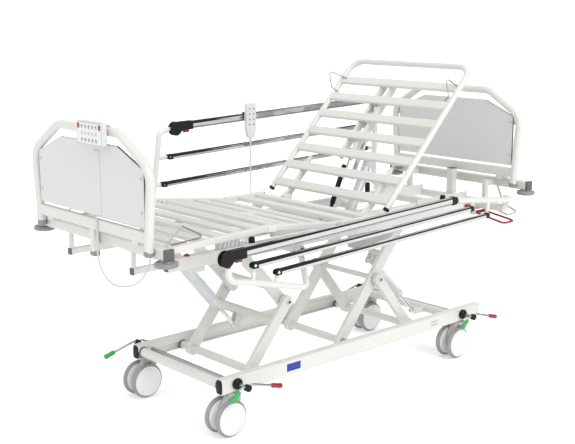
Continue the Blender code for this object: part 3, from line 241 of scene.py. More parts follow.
# rectangle with round corners; a point just before and after each arc keeps the flats flat
def roundRect(width, height, radius, steps=4):
    radius = min(radius, 0.49 * width, 0.49 * height)
    turn = np.linspace(0, math.pi / 2, steps + 1)
    keep = min(0.0006, 0.2 * radius)
    arc = rays(turn) * radius
    arc = np.concatenate([arc[:1] - [[0, keep]], arc, arc[-1:] - [[keep, 0]]])
    rows = []
    for quarter in range(4):
        c, s = [(1, 0), (0, 1), (-1, 0), (0, -1)][quarter]
        spin = np.array([[c, -s], [s, c]])
        sx, sy = [(1, 1), (-1, 1), (-1, -1), (1, -1)][quarter]
        centre = np.array([sx * (width / 2 - radius), sy * (height / 2 - radius)])
        rows.append(arc @ spin.T + centre)
    return np.concatenate(rows)


# a profile carried along a path; its second axis leans toward ref, the ends are bevelled
def sweep(path, profile, ref=(0, 0, 1), bevel=0.0):
    path = vec(path)
    ref = vec(ref)
    tangent = unit(np.gradient(path, axis=0))
    scale = np.ones(len(path))
    if bevel:
        half = np.abs(profile).max(axis=0).min()
        first, last = tangent[0], tangent[-1]
        inner = [path[:1] + first * bevel, path[1:-1], path[-1:] - last * bevel]
        path = np.concatenate([path[:1], *inner, path[-1:]])
        tangent = np.concatenate([tangent[:1], tangent, tangent[-1:]])
        scale = np.ones(len(path))
        scale[[0, -1]] = 1 - bevel / half
    side = unit(ref - (tangent @ ref)[:, None] * tangent)
    across = np.cross(side, tangent)
    grow = profile[None] * scale[:, None, None]
    points = path[:, None] + grow[..., :1] * across[:, None] + grow[..., 1:] * side[:, None]
    return capped(points, len(path), len(profile))


def bar(start, end, width, height, radius=0.004, ref=(0, 0, 1), bevel=0.0012):
    return sweep([start, end], roundRect(width, height, radius), ref, bevel)


def pipe(path, radius, sides=20, ref=(0, 0, 1), bevel=0.0012):
    return sweep(path, circle(radius, sides), ref, min(bevel, 0.4 * radius))


# a box with round long edges, given by its corners
def block(low, high, radius=0.004):
    low, high = vec(low), vec(high)
    size = high - low
    middle = (low + high) / 2
    long = int(np.argmax(size))
    step = np.zeros(3)
    step[long] = size[long] / 2
    up = 1 if long == 2 else 2
    ref = np.zeros(3)
    ref[up] = 1
    wide = 3 - long - up
    radius = min(radius, 0.3 * size[wide], 0.3 * size[up])
    return bar(middle - step, middle + step, size[wide], size[up], radius, ref, min(0.0012, radius))


# a profile of (radius, height) turned about an axis
def turned(profile, centre, axis, sides=28):
    profile = vec(profile)
    axis = unit(vec(axis))
    spare = np.array([1.0, 0, 0]) if abs(axis[0]) < 0.8 else np.array([0, 1.0, 0])
    first = unit(np.cross(axis, spare))
    second = np.cross(axis, first)
    around = circle(1.0, sides)
    spokes = around[:, :1] * first + around[:, 1:] * second
    points = profile[:, None, :1] * spokes[None] + profile[:, None, 1:] * axis + vec(centre)
    return capped(points, len(profile), sides)


def drum(start, end, radius, sides=24, bevel=0.0015):
    start = vec(start)
    run = vec(end) - start
    length = np.linalg.norm(run)
    bevel = min(bevel, 0.3 * length, 0.5 * radius)
    profile = [(radius - bevel, 0), (radius, bevel), (radius, length - bevel), (radius - bevel, length)]
    return turned(profile, start, run, sides)


def pinY(x, z, y0, y1, radius, sides=22):
    return drum((x, min(y0, y1), z), (x, max(y0, y1), z), radius, sides)


# outline shrunk along its corner normals
def inset(outline, depth):
    before = unit(outline - np.roll(outline, 1, axis=0))
    after = unit(np.roll(outline, -1, axis=0) - outline)
    normal = np.stack([-(before + after)[:, 1], (before + after)[:, 0]], axis=1)
    normal = unit(normal)
    cosine = np.clip((normal * np.stack([-after[:, 1], after[:, 0]], axis=1)).sum(axis=1), 0.4, 1)
    return outline + normal * (depth / cosine)[:, None]


# a flat outline given depth, with bevelled rims; axes are the outline's two directions
def slab(outline, low, high, axes, bevel=0.0015):
    outline = vec(outline)
    nextOnes = np.roll(outline, -1, axis=0)
    if (outline[:, 0] * nextOnes[:, 1] - nextOnes[:, 0] * outline[:, 1]).sum() < 0:
        outline = outline[::-1]
    first, second = vec(axes)
    third = np.cross(first, second)
    small = inset(outline, bevel)
    rings = [(small, low), (outline, low + bevel), (outline, high - bevel), (small, high)]
    points = np.stack([ring[:, :1] * first + ring[:, 1:] * second + level * third for ring, level in rings])
    return capped(points, 4, len(outline))


# plate in the x-z plane between two y values
def plateXZ(outline, y0, y1, bevel=0.0015):
    return slab(outline, -max(y0, y1), -min(y0, y1), ((1, 0, 0), (0, 0, 1)), bevel)


def plateYZ(outline, x0, x1, bevel=0.0015):
    return slab(outline, x0, x1, ((0, 1, 0), (0, 0, 1)), bevel)


# corners of a path or outline replaced by arcs
def rounded(points, radius, steps=8, closed=False):
    points = [vec(place) for place in points]
    count = len(points)
    path = [] if closed else [points[0]]
    for index in range(0 if closed else 1, count if closed else count - 1):
        corner = points[index]
        back = points[index - 1] - corner
        ahead = points[(index + 1) % count] - corner
        backLen = np.linalg.norm(back)
        aheadLen = np.linalg.norm(ahead)
        back = back / backLen
        ahead = ahead / aheadLen
        half = math.acos(max(-1, min(1, float(back @ ahead)))) / 2
        reach = min(radius / math.tan(half), 0.48 * backLen, 0.48 * aheadLen)
        turnR = reach * math.tan(half)
        centre = corner + unit(back + ahead) * (turnR / math.sin(half))
        start = corner + back * reach - centre
        end = corner + ahead * reach - centre
        sweepAngle = math.pi - 2 * half
        for step in np.linspace(0, 1, steps + 1):
            weightA = math.sin((1 - step) * sweepAngle) / math.sin(sweepAngle)
            weightB = math.sin(step * sweepAngle) / math.sin(sweepAngle)
            path.append(centre + weightA * start + weightB * end)
    if not closed:
        path.append(points[-1])
    return np.array(path)


# outline of a link: two round ends joined by a bar of the given half width
def linkOutline(p0, p1, half, r0, r1, steps=14):
    p0 = vec(p0)
    p1 = vec(p1)
    heading = math.atan2(p1[1] - p0[1], p1[0] - p0[0])
    rows = []
    for centre, radius, way in ((p1, r1, heading), (p0, r0, heading + math.pi)):
        reach = math.pi - math.asin(min(1, half / radius))
        turn = way + np.linspace(-reach, reach, steps)
        rows.append(centre + rays(turn) * radius)
    return np.concatenate(rows)


def link(p0, p1, width, r0, r1, y0, y1, bevel=0.002):
    return plateXZ(linkOutline(p0, p1, width / 2, r0, r1), y0, y1, bevel)


# smooth curve through points, each stretch a cubic of its four neighbours
def smoothPath(points, count):
    knots = vec(points)
    knots = np.concatenate([2 * knots[:1] - knots[1:2], knots, 2 * knots[-1:] - knots[-2:-1]])
    share = np.linspace(0, len(points) - 1, count + 1)
    index = np.minimum(share.astype(int), len(points) - 2)
    t = (share - index)[:, None]
    a, b, c, d = (knots[index + step] for step in range(4))
    return (2 * b + (c - a) * t + (2 * a - 5 * b + 4 * c - d) * t ** 2 + (3 * b - a - 3 * c + d) * t ** 3) / 2


# joins parts into one object that rides on a body
def piece(name, parts, look, body, replaces=(), angle=40):
    points = []
    faces = []
    start = 0
    for partPoints, partFaces in parts:
        points.append(np.asarray(partPoints))
        faces.extend([[start + corner for corner in face] for face in partFaces])
        start += len(partPoints)
    mesh = bpy.data.meshes.new(name)
    mesh.from_pydata(np.concatenate(points).tolist(), [], faces)
    mesh.shade_smooth()
    mesh.set_sharp_from_angle(angle=math.radians(angle))
    mesh.materials.append(looks[look])
    made = bpy.data.objects.new(name, mesh)
    bpy.context.scene.collection.objects.link(made)
    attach(made, body)
    if replaces:
        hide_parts(*replaces)
    return made


bothSides = (("near", -1), ("far", 1))

# places that several pieces share; a bar's pin is counted from an arm's pivot while the rail stands
deck = dict(foot=-1.0484, head=1.0484, barZ=0.784, barTop=0.824, barY=0.4335, barW=0.040, hoop=0.0173)
mid = dict(y=0.240, w=0.030, z0=0.685, z1=0.735, foot=-0.905, head=1.000)
railPins = dict(
    foot=(-0.365, 0.712), head=(0.915, 0.757),
    low=(-0.067, 0.161), mid=(-0.0315, 0.280), top=(0.010, 0.410),
)

# cords first: the points repeat the routes of the part's source;
# seat, rise and tall place the handset on the top bar
cords = dict(radius=0.003, gap=0.0003, handsetX=0.047, handsetY=0.404, seat=0.017, rise=0.050, tall=0.160)
cords.update(panelX=0.0348, panelY=-0.064, panelTop=0.8937, endX=0.020, endY=-0.318)


def topBarZ(x):
    foot, head, top = railPins["foot"], railPins["head"], railPins["top"]
    slope = (head[1] - foot[1]) / (head[0] - foot[0])
    return foot[1] + top[1] + (x - foot[0] - top[0]) * slope


def layCord(name, route, count, body, node):
    path = smoothPath(route, count)
    made = piece(name, [pipe(path, cords["radius"], 16, (1, 0, 0), 0.0004)], "cord", body, (node,))
    return made


def makeCords():
    x, y, gap = cords["handsetX"], cords["handsetY"], cords["gap"]
    top = topBarZ(x) + cords["seat"] + cords["rise"] - cords["tall"] - gap
    side = mid["y"] + mid["w"] / 2
    low = mid["z0"]
    route = [
        (x, y, top), (x, y, top - 0.080), (x, y, low + 0.150), (x + 0.003, y - 0.006, low + 0.055),
        (x + 0.013, y - 0.036, low - 0.015), (x + 0.028, side + 0.068, low - 0.034),
        (x + 0.044, side + 0.042, low - 0.002), (x + 0.055, side + 0.022, low + 0.024),
        (x + 0.055, side + 0.008, low + 0.024), (x + 0.055, side + gap, low + 0.024),
    ]
    made = layCord("handsetCord", route, 160, "mid_frame", "handset_cord")
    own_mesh(made)
    x = deck["foot"] - cords["panelX"]
    y, top = cords["panelY"], cords["panelTop"]
    end = (deck["foot"] + cords["endX"], cords["endY"], deck["barZ"] - gap)
    route = [
        (x, y, top), (x, y, top - 0.060), (x, y - 0.002, top - 0.150), (x + 0.008, y - 0.026, top - 0.215),
        (x + 0.022, y - 0.090, top - 0.248), (end[0] - 0.012, end[1] + 0.072, top - 0.225),
        (end[0] - 0.002, end[1] + 0.014, top - 0.165), (end[0], end[1], end[2] - 0.020), end,
    ]
    layCord("panelCord", route, 150, "foot_crossbar", "panel_cord")


makeCords()

# base: two channel rails, round end tubes and pivot shafts, cylinder bracket
base = dict(
    railY=0.2835, width=0.040, height=0.062, z=0.201, x0=-0.700, x1=0.893, corner=0.006,
    groove=0.0125, grooveZ=0.190, half=0.0145, lip=0.0008, reach=0.2660, rings=(0.2630, 0.2550),
    shafts=((-0.676, 0.201, 0.020), (0.715, 0.201, 0.020), (-0.470, 0.190, 0.017), (0.482, 0.190, 0.017)),
    ear=((0.715, 0.201), (0.640, 0.201)), earY=(-0.118, -0.090), earPin=(-0.122, -0.078),
    plate=((-0.365, 0.187), (-0.290, 0.187), (-0.290, 0.219), (-0.365, 0.219)), plateY=(-0.3047, -0.3033),
    boltX=(0.540, 0.556, 0.572), boltZ=(0.194, 0.210), boltY=(-0.3060, -0.3030),
)


def railProfile(side):
    # closed outline seen along x: the channel opens toward the bed's middle
    w, h, lip, corner = base["width"] / 2, base["height"] / 2, base["lip"], base["corner"]
    low = base["grooveZ"] - base["half"] - base["z"]
    high = base["grooveZ"] + base["half"] - base["z"]
    deep = w - base["groove"]
    outer = roundRect(2 * w, 2 * h, corner)
    body = outer[outer[:, 0] > -w + 0.0005]
    start = int(np.argmin(np.where(body[:, 1] < 0, body[:, 0], 9)))
    body = np.roll(body, -start, axis=0)
    notch = [
        (-w, high), (-w + lip, high - lip), (-deep, high - 0.001),
        (-deep, low + 0.001), (-w + lip, low + lip), (-w, low),
    ]
    profile = np.concatenate([body, [(-w, h - corner)], notch, [(-w, -h + corner)]])
    profile = profile * [side, 1]
    return profile if side > 0 else profile[::-1]


def makeBase():
    parts = []
    caps = []
    z, reach = base["z"], base["reach"]
    for side in (-1, 1):
        y = side * base["railY"]
        path = [(base["x0"], y, z), (base["x1"], y, z)]
        parts.append(sweep(path, railProfile(side)))
        for x in (base["x0"], base["x1"]):
            caps.append(bar((x - 0.004, y, z), (x + 0.004, y, z), 0.036, 0.057, 0.012, bevel=0.003))
    rings = []
    for x, level, radius in base["shafts"]:
        parts.append(pipe([(x, -reach, level), (x, reach, level)], radius, 28))
        for side in (-1, 1):
            outer, inner = base["rings"]
            rings.append(pinY(x, level, side * outer, side * inner, radius + 0.003, 28))
    root, pin = base["ear"]
    for y in base["earY"]:
        parts.append(link(root, pin, 0.030, 0.0155, 0.0155, y, y + 0.008))
    parts.append(pinY(*pin, *base["earPin"], 0.006))
    piece("baseFrame", parts, "cream", "base_frame", ("base_frame",))
    piece("baseEndCaps", caps, "black", "base_frame")
    piece("baseBearingRings", rings, "capGrey", "base_frame")
    plate = plateXZ(rounded(base["plate"], 0.003, 5, True), *base["plateY"], 0.0003)
    piece("basePlainPlate", [plate], "blue", "base_frame")
    spots = [(x, level) for x in base["boltX"] for level in base["boltZ"]]
    bolts = [pinY(*spot, *base["boltY"], 0.0045, 12) for spot in spots]
    piece("baseBolts", bolts, "steel", "base_frame")


makeBase()
print("base made")

# casters: swivel body between two wheels, white covers and grey tyres
caster = dict(foot=-0.630, head=0.757, trail=0.040, wheelR=0.075, wheelW=0.030, gap=0.036, top=0.170)
caster["hood"] = (
    (0.016, -0.030), (0.024, -0.026), (0.0300, -0.016),
    (0.0312, -0.006), (0.0300, -0.002), (0.026, -0.0008),
)


def wheelProfiles():
    r, w = caster["wheelR"], caster["wheelW"]
    turn = np.linspace(-math.pi / 2, math.pi / 2, 9)
    tread = [(r - 0.006 + 0.006 * math.cos(a), w / 2 + (w / 2 - 0.007) * math.sin(a)) for a in turn]
    tyre = [
        (r - 0.012, 0.004), (r - 0.008, 0.0025), *tread,
        (r - 0.008, w - 0.0025), (r - 0.012, w - 0.004),
    ]
    cover = [
        (0.004, 0.0006), (0.050, 0.0), (0.0605, 0.0015),
        (r - 0.0095, 0.0045), (r - 0.0090, 0.008), (r - 0.0090, w - 0.008), (r - 0.0095, w - 0.0045),
        (0.0640, w - 0.0015), (0.0620, w - 0.0012), (0.0610, w - 0.0022), (0.0560, w - 0.0022),
        (0.0540, w - 0.0008), (0.030, w + 0.0008), (0.0175, w + 0.0012), (0.0165, w + 0.0030),
        (0.004, w + 0.0034),
    ]
    return tyre, cover


def makeCaster(end, name, side, tyreLine, coverLine):
    half = caster["gap"] / 2
    x, y = caster[end], side * base["railY"]
    ax, az = x - caster["trail"], caster["wheelR"]
    outline = [
        (x + 0.026, 0.163), (x + 0.026, 0.128), (ax + 0.027, 0.060), (ax + 0.012, 0.047),
        (ax - 0.014, 0.049), (ax - 0.025, 0.070), (ax - 0.023, 0.115), (x - 0.032, 0.163),
    ]
    fork = [plateXZ(rounded(outline, 0.016, 6, True), y - half + 0.002, y + half - 0.002, 0.003)]
    fork.append(turned(caster["hood"], (x, y, caster["top"]), (0, 0, 1), 32))
    body = f"caster_fork_{end}_{name}"
    piece(f"casterBody_{end}_{name}", fork, "pale", body, (body,))
    wheels = f"caster_wheels_{end}_{name}"
    places = [((ax, y + way * half, az), (0, way, 0)) for way in (-1, 1)]
    covers = [turned(coverLine, *place, 40) for place in places]
    covers.append(pinY(ax, az, y - half - 0.004, y + half + 0.004, 0.008))
    piece(f"wheelCovers_{end}_{name}", covers, "white", wheels, (wheels,))
    tyres = [turned(tyreLine, *place, 40) for place in places]
    piece(f"wheelTyres_{end}_{name}", tyres, "tyre", wheels)


for end in ("foot", "head"):
    for name, side in bothSides:
        makeCaster(end, name, side, *wheelProfiles())
print("casters made")

# brake bars: hexagon bar, black hubs, bent rods with red and green grips
brake = dict(
    z=0.205, hexR=0.008, rodR=0.0048, pedalY=0.372, railOut=0.3035,
    reach=(0.165, 0.085), drop=(0.030, 0.034), gripLong=0.050,
    hub=((0.0210, 0.0007), (0.0225, 0.003), (0.0225, 0.012),
         (0.0170, 0.019), (0.0120, 0.0205), (0.0115, 0.0235)),
    grip=((0.0062, 0.0), (0.0085, 0.002), (0.0100, 0.010), (0.0092, 0.030),
          (0.0108, 0.046), (0.0098, 0.0500), (0.0060, 0.0515)),
)


def makeBrake(end):
    x, z, py = caster[end], brake["z"], brake["pedalY"]
    body = f"brake_bar_{end}"
    steel = [pipe([(x, -py - 0.006, z), (x, py + 0.006, z)], brake["hexR"], 6, (0, 0, 1), 0.001)]
    hubs = []
    grips = dict(red=[], green=[])
    for side in (-1, 1):
        y = side * py
        hubs.append(turned(brake["hub"], (x, side * brake["railOut"], z), (0, side, 0), 30))
        hubs.append(pinY(x, z, side * (py - 0.010), side * (py + 0.010), 0.0140))
        for share, reach, drop in zip((1, -1), brake["reach"], brake["drop"]):
            way = -side * share
            top = np.array([x + way * 0.022, y, z + 0.010])
            tip = np.array([x + way * reach, y + side * 0.006, z - drop])
            back = unit(top - tip)
            path = rounded([(x, y, z), top, tip + back * 0.004], 0.016, 6)
            steel.append(pipe(path, brake["rodR"], 14, (0, 1, 0)))
            color = "red" if way > 0 else "green"
            grips[color].append(turned(brake["grip"], tip + back * brake["gripLong"], -back, 22))
    piece(f"brakeSteel_{end}", steel, "steel", body, (body,))
    piece(f"brakeHubs_{end}", hubs, "black", body)
    piece(f"brakeGripsRed_{end}", grips["red"], "red", body)
    piece(f"brakeGripsGreen_{end}", grips["green"], "green", body)


for end in ("foot", "head"):
    makeBrake(end)
print("brakes made")

# lift linkage: flat arms with round hubs on cross shafts; a pair of arms is y, width and end radii
lift = dict(baseZ=0.190, dx=0.202, dz=0.252, head=0.482, foot=-0.470, thick=0.024)
lift.update(headShort=(0.200, 0.045, 0.029, 0.0245), headLong=(0.165, 0.055, 0.029, 0.029))
lift.update(footLower=(0.192, 0.050, 0.0292, 0.0268), footUpperY=0.160, footUpperHalf=0.023)
lift["mid"] = (lift["head"] - lift["dx"], lift["baseZ"] + lift["dz"])
lift["headTop"] = (lift["head"], lift["baseZ"] + 2 * lift["dz"])
lift["roller"] = (lift["head"] - 2 * lift["dx"], lift["baseZ"])
lift["knee"] = (lift["foot"] + lift["dx"], lift["baseZ"] + lift["dz"])
lift["footTop"] = (lift["foot"], lift["baseZ"] + 2 * lift["dz"])
lift["headPin"] = (lift["mid"][0] + 0.050, lift["mid"][1] + 0.058)
lift["footPin"] = (lift["knee"][0] - 0.084, lift["knee"][1] - 0.140)


def pair(p0, p1, y, width, r0, r1):
    half = lift["thick"] / 2
    parts = []
    for side in (-1, 1):
        parts.append(link(p0, p1, width, width / 2, width / 2, side * y - half, side * y + half, 0.003))
        for place, radius in ((p0, r0), (p1, r1)):
            parts.append(pinY(*place, side * y - half - 0.001, side * y + half + 0.001, radius, 32))
    return parts


# two ears that hold a pin
def lugs(start, pin, y, width, inner=0.010, thick=0.008):
    parts = [pinY(*pin, y - inner - thick - 0.002, y + inner + thick + 0.002, 0.006)]
    for low in (y - inner - thick, y + inner):
        parts.append(link(start, pin, width, width / 2 + 0.0005, width / 2 + 0.0005, low, low + thick))
    return parts


def toward(p0, p1, dist):
    return vec(p0) + unit(vec(p1) - vec(p0)) * dist


def makeHeadArms():
    low = (lift["head"], lift["baseZ"])
    middle, top, roller = lift["mid"], lift["headTop"], lift["roller"]
    parts = pair(low, middle, *lift["headShort"])
    parts.append(pinY(*middle, -0.218, 0.218, 0.012))
    piece("headShortArms", parts, "cream", "head_short_arms", ("head_short_arms",))
    y = lift["headLong"][0]
    parts = pair(roller, top, *lift["headLong"])
    parts.append(pinY(*roller, -y, y, 0.017))
    torque = toward(middle, top, 0.119)
    parts.append(pinY(*torque, -y, -0.080, 0.017))
    parts += lugs(torque, lift["headPin"], -0.100, 0.030)
    piece("headLongArms", parts, "cream", "head_long_arms", ("head_long_arms",))
    wheels = [pinY(*roller, side * 0.178, side * 0.2745, 0.0136) for side in (-1, 1)]
    piece("headRollers", wheels, "steel", "head_long_arms")


def makeFootArms():
    low, knee, top = (lift["foot"], lift["baseZ"]), lift["knee"], lift["footTop"]
    y = lift["footLower"][0]
    parts = pair(low, knee, *lift["footLower"])
    torque = toward(low, knee, 0.7 * math.hypot(lift["dx"], lift["dz"]))
    parts.append(pinY(*torque, -y, y, 0.020, 28))
    parts += lugs(torque, lift["footPin"], 0.045, 0.032)
    parts += [pinY(*knee, side * 0.145, side * 0.210, 0.012) for side in (-1, 1)]
    piece("footLowerArms", parts, "cream", "foot_lower_arms", ("foot_lower_arms",))
    shape = np.array([top, (top[0] + 0.020, top[1] - 0.064), (top[0] + 0.086, top[1] - 0.124), knee])
    spine = rounded(shape, 0.060, 6)
    normal = unit(np.gradient(spine, axis=0)) @ np.array([[0, 1], [-1, 0]])
    edge = normal * lift["footUpperHalf"]
    outline = np.concatenate([spine + edge, (spine - edge)[::-1]])
    y, half = lift["footUpperY"], lift["thick"] / 2
    parts = []
    for side in (-1, 1):
        y0, y1 = side * y - half, side * y + half
        parts.append(plateXZ(outline, y0, y1, 0.003))
        parts.append(pinY(*top, y0 - 0.0005, y1 + 0.0005, 0.0285, 32))
        parts.append(pinY(*knee, y0 - 0.0005, y1 + 0.0005, 0.0255, 32))
    parts.append(pinY(*toward(knee, shape[2], 0.090), -y, y, 0.015))
    piece("footUpperArms", parts, "cream", "foot_upper_arms", ("foot_upper_arms",))


def makePivotNuts(name, body, place, y):
    nuts = [pinY(*place, side * y, side * (y + 0.004), 0.0095, 6) for side in (-1, 1)]
    sockets = [pinY(*place, side * (y + 0.003), side * (y + 0.0043), 0.0055, 16) for side in (-1, 1)]
    piece(name + "PivotNuts", nuts, "pale", body)
    piece(name + "PivotSockets", sockets, "black", body)


makeHeadArms()
makeFootArms()
makePivotNuts("mid", "head_short_arms", lift["mid"], 0.218)
makePivotNuts("knee", "foot_lower_arms", lift["knee"], 0.2095)
print("lift made")

# cylinders and actuators: a barrel on one pin, a rod on the other;
# the backrest's line comes first, since two of them push on it
back = dict(deg=46.3, low=(0.146, 0.802), pivot=(0.120, 0.765), length=0.789, rib=-0.028, halfY=0.364)
back.update(actuator=0.540, spring=0.470)
backWay = np.array([math.cos(math.radians(back["deg"])), math.sin(math.radians(back["deg"]))])
backNormal = np.array([-backWay[1], backWay[0]])
pins = dict(back=(0.260, 0.640), gas=(0.300, 0.705), thigh=(0.050, 0.700), thighFar=(-0.360, 0.700))
pins["foot"] = (-0.680, 0.680)


def backAt(along, off=0.0):
    return np.array(back["low"]) + backWay * along + backNormal * off


drives = dict(
    foot_cylinder=dict(
        y=0.045, fixed=pins["foot"], moving=lift["footPin"], r=0.025, to=0.345, rodR=0.008, rod=0.300,
    ),
    head_cylinder=dict(
        y=-0.100, fixed=lift["headPin"], moving=base["ear"][1], r=0.022, to=0.290, rodR=0.008, rod=0.225,
        start=0.060,
    ),
    back_actuator=dict(
        y=0.0, fixed=pins["back"], moving=backAt(back["actuator"], back["rib"]), r=0.022, to=0.345,
        rodR=0.013, rod=0.360, rodY=0.064, eye=0.023,
    ),
    gas_spring=dict(
        y=0.131, fixed=pins["gas"], moving=backAt(back["spring"], back["rib"]), r=0.012, to=0.225,
        rodR=0.005, rod=0.305, rodY=0.112, look="black", slot="gas_black",
    ),
    thigh_actuator=dict(
        y=-0.040, fixed=pins["thigh"], moving=pins["thighFar"], r=0.019, to=0.270, rodR=0.008, rod=0.250,
        look="pale", slot="actuator_plastic",
    ),
)


def makeDrive(name, spec):
    fixed, moving = vec(spec["fixed"]), vec(spec["moving"])
    run = unit(moving - fixed)
    length = float(np.linalg.norm(moving - fixed))
    start = spec.get("start", 0.030)
    y, r, to, rodR = spec["y"], spec["r"], spec["to"], spec["rodR"]
    eye = spec.get("eye", 0.010) - 0.001
    axis = (run[0], 0.0, run[1])
    line = [
        (0.0085, 0.004), (0.0085, start - 0.004), (r * 0.72, start), (r, start + 0.007),
        (r, to - 0.040), (r - 0.0012, to - 0.038), (r - 0.0012, to - 0.034), (r, to - 0.032),
        (r, to - 0.004), (r - 0.004, to), (rodR + 0.003, to + 0.001),
    ]
    parts = [turned(line, (fixed[0], y, fixed[1]), axis, 36), pinY(*fixed, y - eye, y + eye, 0.0133)]
    piece(name + "_barrel", parts, spec.get("look", "barrel"), name, (name,))
    side = spec.get("rodY", y)
    tail = length - spec["rod"]
    line = [
        (rodR - 0.001, tail), (rodR, tail + 0.001), (rodR, length - 0.020),
        (rodR + 0.003, length - 0.018), (rodR + 0.003, length - 0.006),
    ]
    parts = [turned(line, (fixed[0], side, fixed[1]), axis, 24)]
    parts.append(pinY(*moving, side - 0.009, side + 0.009, 0.0123))
    piece(name + "_chrome", parts, "rod", name + "_rod", (name + "_rod",))


for name, spec in drives.items():
    makeDrive(name, spec)
print("drives made")

# emergency lowering lever: a red loop handle on the near side
lever = dict(axis=(-0.269, 0.677), ends=(0.864, 0.960), rod=0.0050, hub=0.0085, out=0.171)


def makeLever():
    y, z = lever["axis"]
    first, last = lever["ends"]
    x0, x1 = first + 0.012, last - 0.014
    near, far = y - 0.0065, y - lever["out"]
    path = [(x0, near, z), (x0 - 0.005, far, z - 0.026), (x1 + 0.005, far, z - 0.025), (x1, near, z)]
    parts = [pipe(rounded(path, 0.018, 8), lever["rod"], 18)]
    parts.append(drum((first + 0.0045, y, z), (last - 0.0045, y, z), lever["hub"], 26))
    piece("cprLever", parts, "red", "cpr_lever", ("cpr_lever",))


makeLever()
print("lever made")

# mid frame: rectangular tubes with outriggers for the side rails
frameTubes = dict(
    crossX=((0.080, 0.120), (0.203, 0.243), (0.760, 0.800), (0.957, 0.997)),
    stops=((-0.494, 0.022), (0.667, 0.0465)), stopY=0.240, stopZ=0.7352,
    knob=(-0.815, 0.246, 0.7345), knobLine=((0.0115, 0), (0.0115, 0.003), (0.0085, 0.006), (0.0045, 0.008)),
    knobPin=((0.0030, 0.005), (0.0030, 0.0115), (0.0016, 0.0125)),
    rack=(-0.684, -0.562), rackZ=(0.7345, 0.762), teeth=5, toothStep=0.020,
    tooth=((0.0, 0.738), (0.007, 0.738), (0.016, 0.760), (0.009, 0.760)),
    hook=((0.985, -0.252, 0.700), (0.988, -0.290, 0.686), (0.988, -0.380, 0.665),
          (1.054, -0.380, 0.674), (1.054, -0.300, 0.702), (1.054, -0.262, 0.786)),
)


# a box on each side of the bed
def mirrored(low, high, radius=0.004):
    made = []
    for side in (-1, 1):
        y0, y1 = sorted((side * low[1], side * high[1]))
        made.append(block((low[0], y0, low[2]), (high[0], y1, high[2]), radius))
    return made


def crossbar(end):
    x, y = deck[end], deck["barY"]
    return block((x, -y, deck["barZ"]), (x + deck["barW"], y, deck["barTop"]), 0.005)


def makeMidFrame():
    y, z0, z1 = mid["y"], mid["z0"], mid["z1"]
    inner, outer = y - mid["w"] / 2, y + mid["w"] / 2
    parts = mirrored((mid["foot"], inner, z0), (mid["head"], outer, z1))
    for x0, x1 in frameTubes["crossX"]:
        parts.append(block((x0, -y, z0 + 0.010), (x1, y, z1 - 0.010)))
    parts.append(block((-0.765, -y, z0 - 0.025), (-0.725, y, z0 + 0.0097)))
    for side in (-1, 1):
        for place, near in ((lift["headTop"], 0.148), (lift["footTop"], 0.143)):
            parts.append(pinY(*place, side * near, side * y, 0.015))
        parts.append(pinY(*railPins["foot"], side * 0.3565, side * 0.3915, 0.010))
        parts.append(pinY(*railPins["head"], side * 0.4102, side * 0.4470, 0.010))
        parts.append(pinY(*back["pivot"], side * y, side * 0.2665, 0.010))

    # outriggers of the rails, backrest hinges, seat posts, lever rails, posts of the head crossbar
    fx, hx = railPins["foot"][0], railPins["head"][0]
    boxes = (
        ((fx - 0.020, y, 0.6969), (fx + 0.020, 0.3655, 0.7271), 0.004),
        ((hx - 0.020, y, 0.697), (hx + 0.020, 0.4142, 0.727), 0.004),
        ((hx - 0.018, 0.4062, 0.700), (hx + 0.018, 0.4157, 0.775), 0.003),
        ((0.095, inner - 0.001, 0.730), (0.145, 0.244, 0.787), 0.003),
        ((-0.068, 0.228, 0.731), (-0.032, 0.252, 0.7637), 0.004),
        ((0.037, 0.228, 0.731), (0.073, 0.252, 0.7637), 0.004),
        ((0.600, 0.135, 0.700), (0.970, 0.145, 0.752), 0.002),
        ((0.974, 0.228, 0.700), (0.999, 0.252, 0.820), 0.004),
        ((0.976, 0.230, 0.788), (deck["head"] - 0.0003, 0.250, 0.817), 0.004),
    )
    for low, high, radius in boxes:
        parts += mirrored(low, high, radius)
    parts += lugs((-0.740, 0.676), pins["foot"], 0.045, 0.032)
    parts += lugs((0.100, 0.710), pins["thigh"], -0.040, 0.028)
    parts += lugs((0.222, 0.708), pins["back"], 0.0, 0.030, 0.024)
    parts.append(link((0.222, 0.711), pins["gas"], 0.026, 0.013, 0.013, 0.1105, 0.121))
    parts.append(pinY(*pins["gas"], 0.111, 0.1405, 0.006))
    parts.append(block((0.215, -0.066, 0.690), (0.790, -0.046, 0.718)))
    parts.append(block((0.370, -0.064, 0.6283), (0.450, -0.048, 0.700)))
    parts.append(block((0.975, -0.047, 0.702), (1.010, -0.007, 0.850), 0.005))
    hub = lever["axis"]
    for x in lever["ends"]:
        low = (x - 0.0035, hub[0] - 0.011, hub[1] - 0.010)
        parts.append(block(low, (x + 0.0035, -0.250, z0 + 0.020), 0.002))
    parts.append(drum((lever["ends"][0], *hub), (lever["ends"][1], *hub), 0.004, 16))
    piece("midFrame", parts, "cream", "mid_frame", ("mid_frame",))
    piece("headCrossbar", [crossbar("head")], "cream", "mid_frame", ("head_crossbar",))


